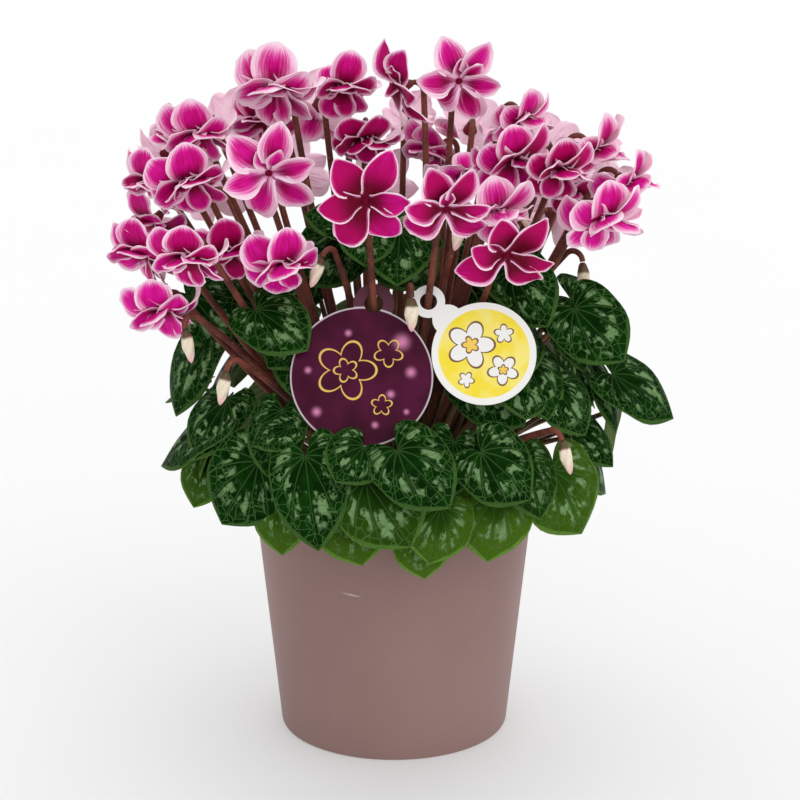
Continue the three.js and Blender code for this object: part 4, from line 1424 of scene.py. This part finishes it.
def leaf_finish():
    material, tree, shader = new_material("leaf", 0.34, Specular_IOR_Level=0.014)
    x, y, seed = (painted(tree, name) for name in ("leaf_x", "leaf_y", "seed"))
    reach, kind = painted(tree, "reach"), painted(tree, "kind")
    at = place(tree, x, y, seed)
    distance = flat_distance(tree, x, y)
    blotches = noise(tree, at, 2.6, 3.0, 0.6)
    turns, aside, main_veins, net = leaf_veins(tree, x, y, distance, at)

    dark = mixed(tree, step_between(tree, blotches, 0.35, 0.7), DARK_GREEN, MID_GREEN)
    fresh = mixed(tree, step_between(tree, reach, 0.25, 0.75), FRESH_HEART, BRIGHT_GREEN)
    green = mixed(tree, kind, dark, fresh)
    wavering = maths(tree, "ADD", reach, maths(tree, "MULTIPLY_ADD", blotches, 0.5, -0.25))
    silver = silver_patches(tree, wavering, turns, aside, distance, seed)
    marbled = mixed(tree, silver, green, SILVER)
    outer = times(tree, step_between(tree, wavering, 0.45, 0.7), net)
    lines = maths(tree, "MAXIMUM", times(tree, outer, 0.6), times(tree, main_veins, 0.45))
    veined = mixed(tree, lines, marbled, LEAF_VEIN)
    rim = mixed(tree, kind, LEAF_RIM, FRESH_RIM)
    rimmed = mixed(tree, step_between(tree, reach, 0.965, 1.0), veined, rim)
    under = mixed(tree, lines, LEAF_UNDERSIDE, LEAF_VEIN)
    puffed = maths(tree, "MULTIPLY_ADD", maths(tree, "SQRT", aside), 0.8, blotches)
    quilted = maths(tree, "SUBTRACT", puffed, times(tree, lines, 0.4))
    colour = mixed(tree, painted(tree, "back"), rimmed, under)
    wear(tree, shader, colour, bumped(tree, quilted, 0.0013, 0.7))
    return material


LEAF_FINISH = leaf_finish()
print("leaf finish:", len(LEAF_FINISH.node_tree.nodes), "nodes")

# %% [markdown]
# The blank blade is a flat grid with two faces, like a petal. Each copy is bent by the leaf rule;
# its lobes are rounded, its middle line is sunk a little, and its rim waves. The low leaves are
# the fresh green ones, all but every fourth.

# %% Shape the blades
LEAF_GRID = (16, 14)
BLADE_THICKNESS = 0.5
BLADE_FULLNESS = 1.8
LOBE_START = 0.5
FRESH = {"below": 132, "over": 22, "but_every": 4}


def blade_width(s):
    """Half the width along the blade: round lobes, then a long curve to the tip."""
    lobe = np.sqrt(1 - (1 - np.clip(s / LEAF["widest"], 0, 1)) ** 2)
    round_lobe = LOBE_START + (1 - LOBE_START) * lobe
    return np.where(s < LEAF["widest"], round_lobe, tip_width(s, BLADE_FULLNESS))


def blade_relief(s, w, start):
    """A wavy rim and a sunk middle line, both fading out at the joint and the tip."""
    rim = 0.7 * np.abs(w) ** 3 * np.sin(9 * s + 3 * w + start)
    middle_line = 0.8 * np.exp(-((w / 0.12) ** 2))
    return (rim - middle_line) * np.sin(math.pi * np.clip(s + 0.12, 0, 1))


def freshness(number, leaf):
    tip_height = leaf["joint"][2] + leaf["long"] * leaf["along"][2]
    low = float(np.clip((FRESH["below"] - tip_height) / FRESH["over"], 0, 1))
    return low * (number % FRESH["but_every"] > 0)


def shape_blade(blank, number, leaf):
    piece = copy_of(blank, "blade")
    flat = points_of(piece.data)
    even, w, upper = (flat[:, 0] + 1) / 2, flat[:, 1], np.sign(flat[:, 2])
    s = even - 0.6 * np.sin(math.tau * even) / math.tau  # closer rows at the lobes and the tip
    start = 1.7 * number
    lobes = 1 - (1 - np.abs(w)) ** 2
    wide = blade_width(s)
    relief = blade_relief(s, w, start)
    set_points(piece.data, leaf_points(leaf, s, w, wide, lobes, upper, BLADE_THICKNESS, relief))
    shape = leaf["long"] / leaf["half"]
    for name, values in (
        ("leaf_x", shape * (s - LEAF["lobe"] * lobes * (1 - s))),
        ("leaf_y", w * wide),
        ("reach", np.maximum((np.abs(w) ** 3 + s**3) ** (1 / 3), np.abs(w)).clip(0, 1)),
        ("seed", start),
        ("kind", freshness(number, leaf)),
        ("back", upper < 0),
    ):
        write_attribute(piece.data, name, values)
    return piece


blank = plate_blank(*LEAF_GRID)
blades = [shape_blade(blank, number, leaf) for number, leaf in enumerate(leaves)]
drop(blank)
blade_piece = join_all(blades, "leaf_blades")
finish_piece(blade_piece, ["leaves"], LEAF_FINISH, smooth_angle=60)
print("blades:", len(blades))

# %% [markdown]
# All stalks rise from one ring round the crown. They are laid like the flower stems, thinner
# and greener, and joined with their ring into one piece.

# %% Lay the stalks
STALK_SIDES = 7
STALK_RINGS = 12
STALK_TAPER = {"at": (0, 0.8, 1), "radius": (1.5, 1.2, 0.7)}
STALK_RING = {"minor_radius": 1.8 * MM, "major_segments": 40, "minor_segments": 10}
STALK_RING_Z = 117.2


def shape_stalk(blank, leaf):
    steps = np.linspace(0, 1, STALK_RINGS + 1)
    radii = np.interp(steps, STALK_TAPER["at"], STALK_TAPER["radius"])
    return lay_tube(blank, STALK_RINGS, along_stalk(leaf["stalk"], steps), radii, "stalk")


def stalk_ring_piece():
    deselect_all()
    bpy.ops.mesh.primitive_torus_add(
        major_radius=STALK["root_radius"] * MM, location=(0, 0, STALK_RING_Z * MM), **STALK_RING
    )
    ring = bpy.context.object
    bpy.ops.object.transform_apply(location=True)
    write_attribute(ring.data, "along", 0)
    return ring


blank = tube_blank(STALK_SIDES, STALK_RINGS)
stalks = [shape_stalk(blank, leaf) for leaf in leaves]
drop(blank)
stalk_piece = join_all([stalk_ring_piece(), *stalks], "leaf_stalks")
finish_piece(stalk_piece, ["leaves"], STALK_FINISH)
print("stalks:", len(stalks))

# %% [markdown]
# ## Pot
# A plain matte plastic pot, moulded in one piece, with a fine satin grain and one short pale streak
# on its front. All of it is in the material, as it is too fine to model.

# %% Pot finish
MAUVE_BROWN, LIGHTER_MAUVE = (0.262, 0.158, 0.144), (0.290, 0.176, 0.160)
POT_GRAIN = (0.42, 0.32, 0.30)
PALE_MARK = (0.62, 0.55, 0.53)
PALE_MARK_PLACE = {"x": -0.0195, "z": 0.086}  # a short pale streak below the rim, in metres


def front_pale_mark(tree, at):
    """A mask of one thin slanting pale streak on the front of the pot."""
    x, y, z = parts_of(tree, at)
    along = maths(tree, "SUBTRACT", x, PALE_MARK_PLACE["x"])
    line = maths(tree, "MULTIPLY_ADD", along, -0.12, PALE_MARK_PLACE["z"])
    off_line = maths(tree, "ABSOLUTE", maths(tree, "SUBTRACT", z, line))
    fading = step_between(tree, maths(tree, "ABSOLUTE", along), 0.006, 0.0)
    pale_mark_mask = times(tree, step_between(tree, off_line, 0.0007, 0.0), fading)
    return times(tree, pale_mark_mask, maths(tree, "LESS_THAN", y, 0.0))


def pot_finish():
    material, tree, shader = new_material("pot", 0.5, Specular_IOR_Level=0.25)
    at = object_place(tree)
    grain = noise(tree, at, 1400.0, 3.0, 0.7)
    cloudy = noise(tree, at, 14.0, 3.0)
    colour = mixed(tree, step_between(tree, cloudy, 0.3, 0.7), MAUVE_BROWN, LIGHTER_MAUVE)
    grains = times(tree, step_between(tree, grain, 0.55, 0.8), 0.35)
    grainy = mixed(tree, grains, colour, POT_GRAIN)
    pale_marked = mixed(tree, times(tree, front_pale_mark(tree, at), 0.7), grainy, PALE_MARK)
    wear(tree, shader, pale_marked, bumped(tree, grain, 0.0002, 0.35))
    return material


POT_FINISH = pot_finish()
print("pot finish ready")

# %% [markdown]
# The pot's section is drawn once, from the middle of its base up the outside, over the rim and
# down the inside, and spun round the middle. Four drain holes are drilled in its floor.

# %% Spin the pot
POT = {
    "height": 120, "base_radius": 55, "rim_radius": 67.5, "wall": 2.4, "floor": 3, "foot": 1.5,
    "drain_radius": 4, "drain_circle": 34, "drains": 4,
}


def pot_outer(z):
    return POT["base_radius"] + (POT["rim_radius"] - POT["base_radius"]) * z / POT["height"]


def spin_profile(profile, name, steps):
    """Spins (radius, z) points in millimetres round the Z axis into a closed skin."""
    mesh = bpy.data.meshes.new(name)
    points = [(r * MM, 0, z * MM) for r, z in profile]
    mesh.from_pydata(points, [(i, i + 1) for i in range(len(points) - 1)], [])
    piece = bpy.data.objects.new(name, mesh)
    bpy.context.collection.objects.link(piece)
    make_active(piece)
    bpy.ops.object.mode_set(mode="EDIT")
    bpy.ops.mesh.select_all(action="SELECT")
    bpy.ops.mesh.spin(steps=steps, angle=2 * math.pi, center=(0, 0, 0), axis=(0, 0, 1))
    bpy.ops.mesh.select_all(action="SELECT")
    bpy.ops.mesh.remove_doubles(threshold=1e-5)
    bpy.ops.mesh.normals_make_consistent(inside=False)
    bpy.ops.object.mode_set(mode="OBJECT")
    return piece


def drilled(piece, places, radius, depth):
    for x, y, z in places:
        deselect_all()
        bpy.ops.mesh.primitive_cylinder_add(
            vertices=32, radius=radius * MM, depth=depth * MM, location=(x * MM, y * MM, z * MM)
        )
        drill = bpy.context.object
        apply_modifier(piece, "BOOLEAN", object=drill, operation="DIFFERENCE", solver="EXACT")
        drop(drill)


POT_PROFILE = (
    # the base and its rounded foot
    (0, 0), (40, 0), (52.5, 0), (pot_outer(0.6) - 0.5, 0.35), (pot_outer(POT["foot"]), POT["foot"]),
    # up the outside
    (pot_outer(30), 30), (pot_outer(60), 60), (pot_outer(90), 90), (pot_outer(118.6), 118.6),
    # the rounded rim
    (pot_outer(119.6) - 0.2, 119.5), (pot_outer(120) - 0.8, 120), (pot_outer(120) - 1.8, 120),
    # down the inside, to the middle of the floor
    (pot_outer(119) - 2.4, 119.2), (pot_outer(60) - 2.4, 60), (pot_outer(3) - 3.4, 3.6),
    (pot_outer(3) - 4.4, 3), (40, 3), (0, 3),
)
DRILL_DEPTH = 9


def drain_places():
    """The middles of the drain holes, halfway down the pot's floor."""
    angles = [math.tau * (i + 0.5) / POT["drains"] for i in range(POT["drains"])]
    circle = POT["drain_circle"]
    return [(circle * math.cos(a), circle * math.sin(a), POT["floor"] / 2) for a in angles]


pot = spin_profile(POT_PROFILE, "pot", steps=96)
drilled(pot, drain_places(), POT["drain_radius"], DRILL_DEPTH)
finish_piece(pot, ["pot"], POT_FINISH, smooth_angle=30)
print("pot faces:", len(pot.data.polygons))

# %% [markdown]
# ## Soil and corm
# Compost and the corm's corky skin are both dull, brown and crumbly, so they share one finish
# with other colours and another grain.

# %% Earth finish and lumps
SOIL_LIGHT, SOIL_DARK = (0.075, 0.045, 0.026), (0.018, 0.011, 0.007)
CORM_LIGHT, CORM_DARK = (0.16, 0.085, 0.05), (0.06, 0.03, 0.018)


def earth_finish(name, light, dark, grain):
    material, tree, shader = new_material(name, 0.92, Specular_IOR_Level=0.2)
    crumbs = noise(tree, object_place(tree), grain, 4.0, 0.7)
    colour = mixed(tree, step_between(tree, crumbs, 0.35, 0.7), dark, light)
    wear(tree, shader, colour, bumped(tree, crumbs, 0.002, 0.8))
    return material


def roughened(piece, depth, where):
    """Moves the chosen points up and down by a fixed pattern of waves."""
    flat = points_of(piece.data) / MM
    x, y, z = flat.T
    broad = np.sin(1.9 * x + 0.7 * y) * np.sin(1.3 * y - 0.5 * x)
    fine = 0.6 * np.sin(3.1 * x) * np.sin(2.7 * y + 1)
    flat[:, 2] += depth * (broad + fine) * where(x, y, z)
    set_points(piece.data, flat)


COMPOST_FINISH = earth_finish("compost", SOIL_LIGHT, SOIL_DARK, 500.0)
CORM_FINISH = earth_finish("corm_skin", CORM_LIGHT, CORM_DARK, 260.0)
print("earth finishes ready")

# %% [markdown]
# The compost fills the pot to just under its rim, and its low dome is roughened. The corm sits
# half sunk in it, a flattened brown ball. Both are spun from a section, like the pot.

# %% Soil and corm
SOIL = {"edge": 107, "dome": 3, "slope": 25, "gap": 0.5, "bed": 27.6}
LUMPS = {"depth": 0.45, "above": 106, "within": 63, "beyond": 29}
CORM_PROFILE = (
    (0, 90), (10, 90.6), (16.2, 92), (22, 96), (26, 100), (27, 103), (26.6, 108), (25.6, 112),
    (24, 114.4), (22, 115), (0, 115),
)


def soil_radius(z):
    return pot_outer(z) - POT["wall"] - SOIL["gap"]


def soil_profile():
    """Up the pot's wall, over the low dome of the top, and down into the corm's bed."""
    rings = np.linspace(soil_radius(SOIL["edge"]), SOIL["bed"], 26)
    top = [
        (r, SOIL["edge"] + SOIL["dome"] * min(1, (rings[0] - r) / SOIL["slope"])) for r in rings
    ]
    wall = [(0, 3.3), (soil_radius(3.3), 3.3), (soil_radius(60), 60)]
    return [*wall, *top, (SOIL["bed"], 103), (26, 101), (16, 91.6), (0, 89.6)]


def on_open_top(x, y, z):
    out = np.hypot(x, y)
    return (z > LUMPS["above"]) & (out < LUMPS["within"]) & (out > LUMPS["beyond"])


soil = spin_profile(soil_profile(), "soil", steps=120)
roughened(soil, LUMPS["depth"], on_open_top)
finish_piece(soil, ["soil"], COMPOST_FINISH)
corm = spin_profile(CORM_PROFILE, "corm", steps=64)
finish_piece(corm, ["corm"], CORM_FINISH, smooth_angle=40)
print("soil faces:", len(soil.data.polygons))

# %% [markdown]
# ## Hang-tags
# Each tag is stamped from thin card: a disc, a small ring and a shoulder between them, with a
# hole that holds the flower stem. It is shaped flat, then set in its place. Every point keeps
# its flat place in millimetres, so the print lies on the card wherever the card hangs.

# %% Stamp the cards
SHOULDER_AT = 0.65  # of the way from the disc's middle to the ring's
STAMP_DEPTH = 3


def flat_disc(x, y, radius, sides, thickness=TAG["thickness"]):
    deselect_all()
    bpy.ops.mesh.primitive_cylinder_add(
        vertices=sides, radius=radius, depth=thickness, location=(x, y, 0)
    )
    disc = bpy.context.object
    bpy.ops.object.transform_apply(location=True)
    return disc


def stamp_card(tag, plan, name):
    ring_x = float(plan["to_ring"] @ plan["right"]) * tag["to_ring"]
    ring_y = float(plan["to_ring"] @ plan["up"]) * tag["to_ring"]
    card = flat_disc(0, 0, tag["radius"], 128)
    for out, radius in ((SHOULDER_AT, tag["shoulder"]), (1, tag["ring"])):
        disc = flat_disc(out * ring_x, out * ring_y, radius, 64)
        apply_modifier(card, "BOOLEAN", object=disc, operation="UNION", solver="EXACT")
        drop(disc)
    hole = flat_disc(ring_x, ring_y, tag["hole"], 48, STAMP_DEPTH)
    apply_modifier(card, "BOOLEAN", object=hole, operation="DIFFERENCE", solver="EXACT")
    drop(hole)
    card.name = card.data.name = name
    return card


def hang_card(card, plan):
    flat = points_of(card.data)
    write_attribute(card.data, "card_x", flat[:, 0])
    write_attribute(card.data, "card_y", flat[:, 1])
    middle = plan["centre"] + flat[:, :1] * plan["right"] + flat[:, 1:2] * plan["up"]
    set_points(card.data, middle + flat[:, 2:] * plan["face"])


print("cards are stamped flat and hung afterwards")

# %% [markdown]
# The print is a plain ornament: blossoms drawn in line. A blossom's outline is a circle whose
# radius swells five times on its way round, so a formula can draw it at any size, and no
# picture is needed.

# %% Printing on a card


def moved(tree, x, y, dx, dy):
    return maths(tree, "SUBTRACT", x, dx), maths(tree, "SUBTRACT", y, dy)


def blossom(tree, x, y, radius, line, turn, petals=5, depth=0.3):
    """Two masks, of a blossom's outline and of what lies inside it; sizes in millimetres."""
    angle = maths(tree, "ADD", maths(tree, "ARCTAN2", y, x), turn)
    lobes = maths(tree, "ABSOLUTE", maths(tree, "COSINE", times(tree, angle, petals / 2)))
    outline = maths(tree, "MULTIPLY_ADD", lobes, radius * depth * 2, radius * (1 - depth))
    inside = maths(tree, "SUBTRACT", outline, flat_distance(tree, x, y))
    drawn = step_between(tree, maths(tree, "ABSOLUTE", inside), line, line * 0.4)
    return drawn, maths(tree, "GREATER_THAN", inside, 0.0)


print("prints are drawn in millimetres on the card")

# %% [markdown]
# The larger tag is plum, a little cloudy, with soft pink glows and gold line blossoms inside a
# pale edge. Its ring is a plain lighter plum.

# %% Print the plum card
PLUM_DARK, PLUM_LIGHT = (0.044, 0.003, 0.016), (0.080, 0.006, 0.034)
GLOW_PINK = (0.85, 0.30, 0.55)
GOLD = (0.78, 0.50, 0.12)
CARD_EDGE = (0.55, 0.48, 0.52)
RING_PLUM = (0.105, 0.034, 0.052)
GLOWS = (  # right and up from the card's middle, and size, in millimetres
    (18, 16, 7), (22, 2, 4.5), (13, -8, 3.5), (-20, -16, 4),
    (-6, 20, 3), (6, -22, 3), (-24, 3, 3), (20, -16, 2.5),
)
GOLD_BLOSSOMS = (  # right, up, radius, width of the line, turn
    (-7, 3, 10.5, 0.75, 0.0),
    (-7, 3, 4.2, 0.6, 0.6),
    (12, 11, 5.0, 0.55, 0.3),
    (9, -13, 3.6, 0.5, 1.0),
)


def plum_print():
    material, tree, shader = new_material("plum_card", 0.3, Specular_IOR_Level=0.06)
    x, y = painted(tree, "card_x"), painted(tree, "card_y")
    distance = flat_distance(tree, x, y)
    cloud = noise(tree, place(tree, x, y, 0.0), 0.06, 2.0)
    ground = mixed(tree, step_between(tree, cloud, 0.3, 0.7), PLUM_DARK, PLUM_LIGHT)
    for dx, dy, size in GLOWS:
        away = flat_distance(tree, *moved(tree, x, y, dx, dy))
        glow = step_between(tree, away, size, 0.0)
        ground = mixed(tree, times(tree, times(tree, glow, glow), 0.75), ground, GLOW_PINK)
    lines = 0.0
    for dx, dy, radius, line, turn in GOLD_BLOSSOMS:
        drawn, _ = blossom(tree, *moved(tree, x, y, dx, dy), radius, line, turn)
        lines = maths(tree, "MAXIMUM", lines, drawn)
    printed = mixed(tree, lines, ground, GOLD)
    edged = mixed(tree, step_between(tree, distance, 31.1, 31.5), printed, CARD_EDGE)
    on_ring = maths(tree, "GREATER_THAN", distance, 32.2)
    wear(tree, shader, mixed(tree, on_ring, edged, RING_PLUM))
    return material


PLUM_PRINT = plum_print()
print("glows:", len(GLOWS), "gold blossoms:", len(GOLD_BLOSSOMS))

# %% [markdown]
# The smaller tag is yellow in a white border, with white blossoms outlined in brown. Each one
# covers what is printed before it.

# %% Print the yellow card
YELLOW_DEEP, YELLOW_PALE = (0.90, 0.72, 0.035), (0.92, 0.80, 0.20)
CARD_WHITE = (0.86, 0.86, 0.83)
HEART_ORANGE = (0.90, 0.60, 0.10)
LINE_BROWN = (0.16, 0.07, 0.03)
FILLED_BLOSSOMS = (  # right, up, radius, width of the line, turn, and what fills it
    (-6, 4, 8.4, 0.7, 0.0, CARD_WHITE),
    (-6, 4, 3.0, 0.55, 0.6, HEART_ORANGE),
    (8.5, -7.5, 5.4, 0.6, 0.4, CARD_WHITE),
    (8.5, -7.5, 1.8, 0.45, 1.0, HEART_ORANGE),
    (9, 9, 3.4, 0.5, 0.9, CARD_WHITE),
    (-8, -12, 2.8, 0.45, 0.2, CARD_WHITE),
)


def yellow_print():
    material, tree, shader = new_material("yellow_card", 0.36, Specular_IOR_Level=0.2)
    x, y = painted(tree, "card_x"), painted(tree, "card_y")
    cloud = noise(tree, place(tree, x, y, 0.0), 0.09, 2.0)
    printed = mixed(tree, step_between(tree, cloud, 0.35, 0.65), YELLOW_DEEP, YELLOW_PALE)
    for dx, dy, radius, line, turn, fill in FILLED_BLOSSOMS:
        drawn, inside = blossom(tree, *moved(tree, x, y, dx, dy), radius, line, turn)
        printed = mixed(tree, drawn, mixed(tree, inside, printed, fill), LINE_BROWN)
    border = step_between(tree, flat_distance(tree, x, y), 20.3, 20.7)
    wear(tree, shader, mixed(tree, border, printed, CARD_WHITE))
    return material


YELLOW_PRINT = yellow_print()
print("filled blossoms:", len(FILLED_BLOSSOMS))

# %% [markdown]
# Both cards are stamped, hung from their stems where the plan says, and given their print.

# %% Hang the tags
for tag, plan, name, card_print in (
    (PLUM_TAG, plum, "plum_tag", PLUM_PRINT),
    (YELLOW_TAG, yellow, "yellow_tag", YELLOW_PRINT),
):
    card = stamp_card(tag, plan, name)
    hang_card(card, plan)
    finish_piece(card, [name], card_print, smooth_angle=30)
print("tags hung")

# %% [markdown]
# ## The floor's finish
# The floor is a white table as for product photographs, lit a little from below, so that the
# shadows on it stay faint. It has a faint unevenness.

# %% Floor finish
TABLE_DARK, TABLE_LIGHT = (0.595, 0.598, 0.602), (0.615, 0.618, 0.622)
TABLE_GLOW = {"Emission_Color": (1, 1, 1, 1), "Emission_Strength": 0.24}


def table_finish():
    material, tree, shader = new_material("white_table", 0.85, **TABLE_GLOW)
    unevenness = noise(tree, object_place(tree), 3.0, 3.0)
    wear(tree, shader, mixed(tree, unevenness, TABLE_DARK, TABLE_LIGHT))
    return material


floor.data.materials.append(table_finish())
print("floor finished")
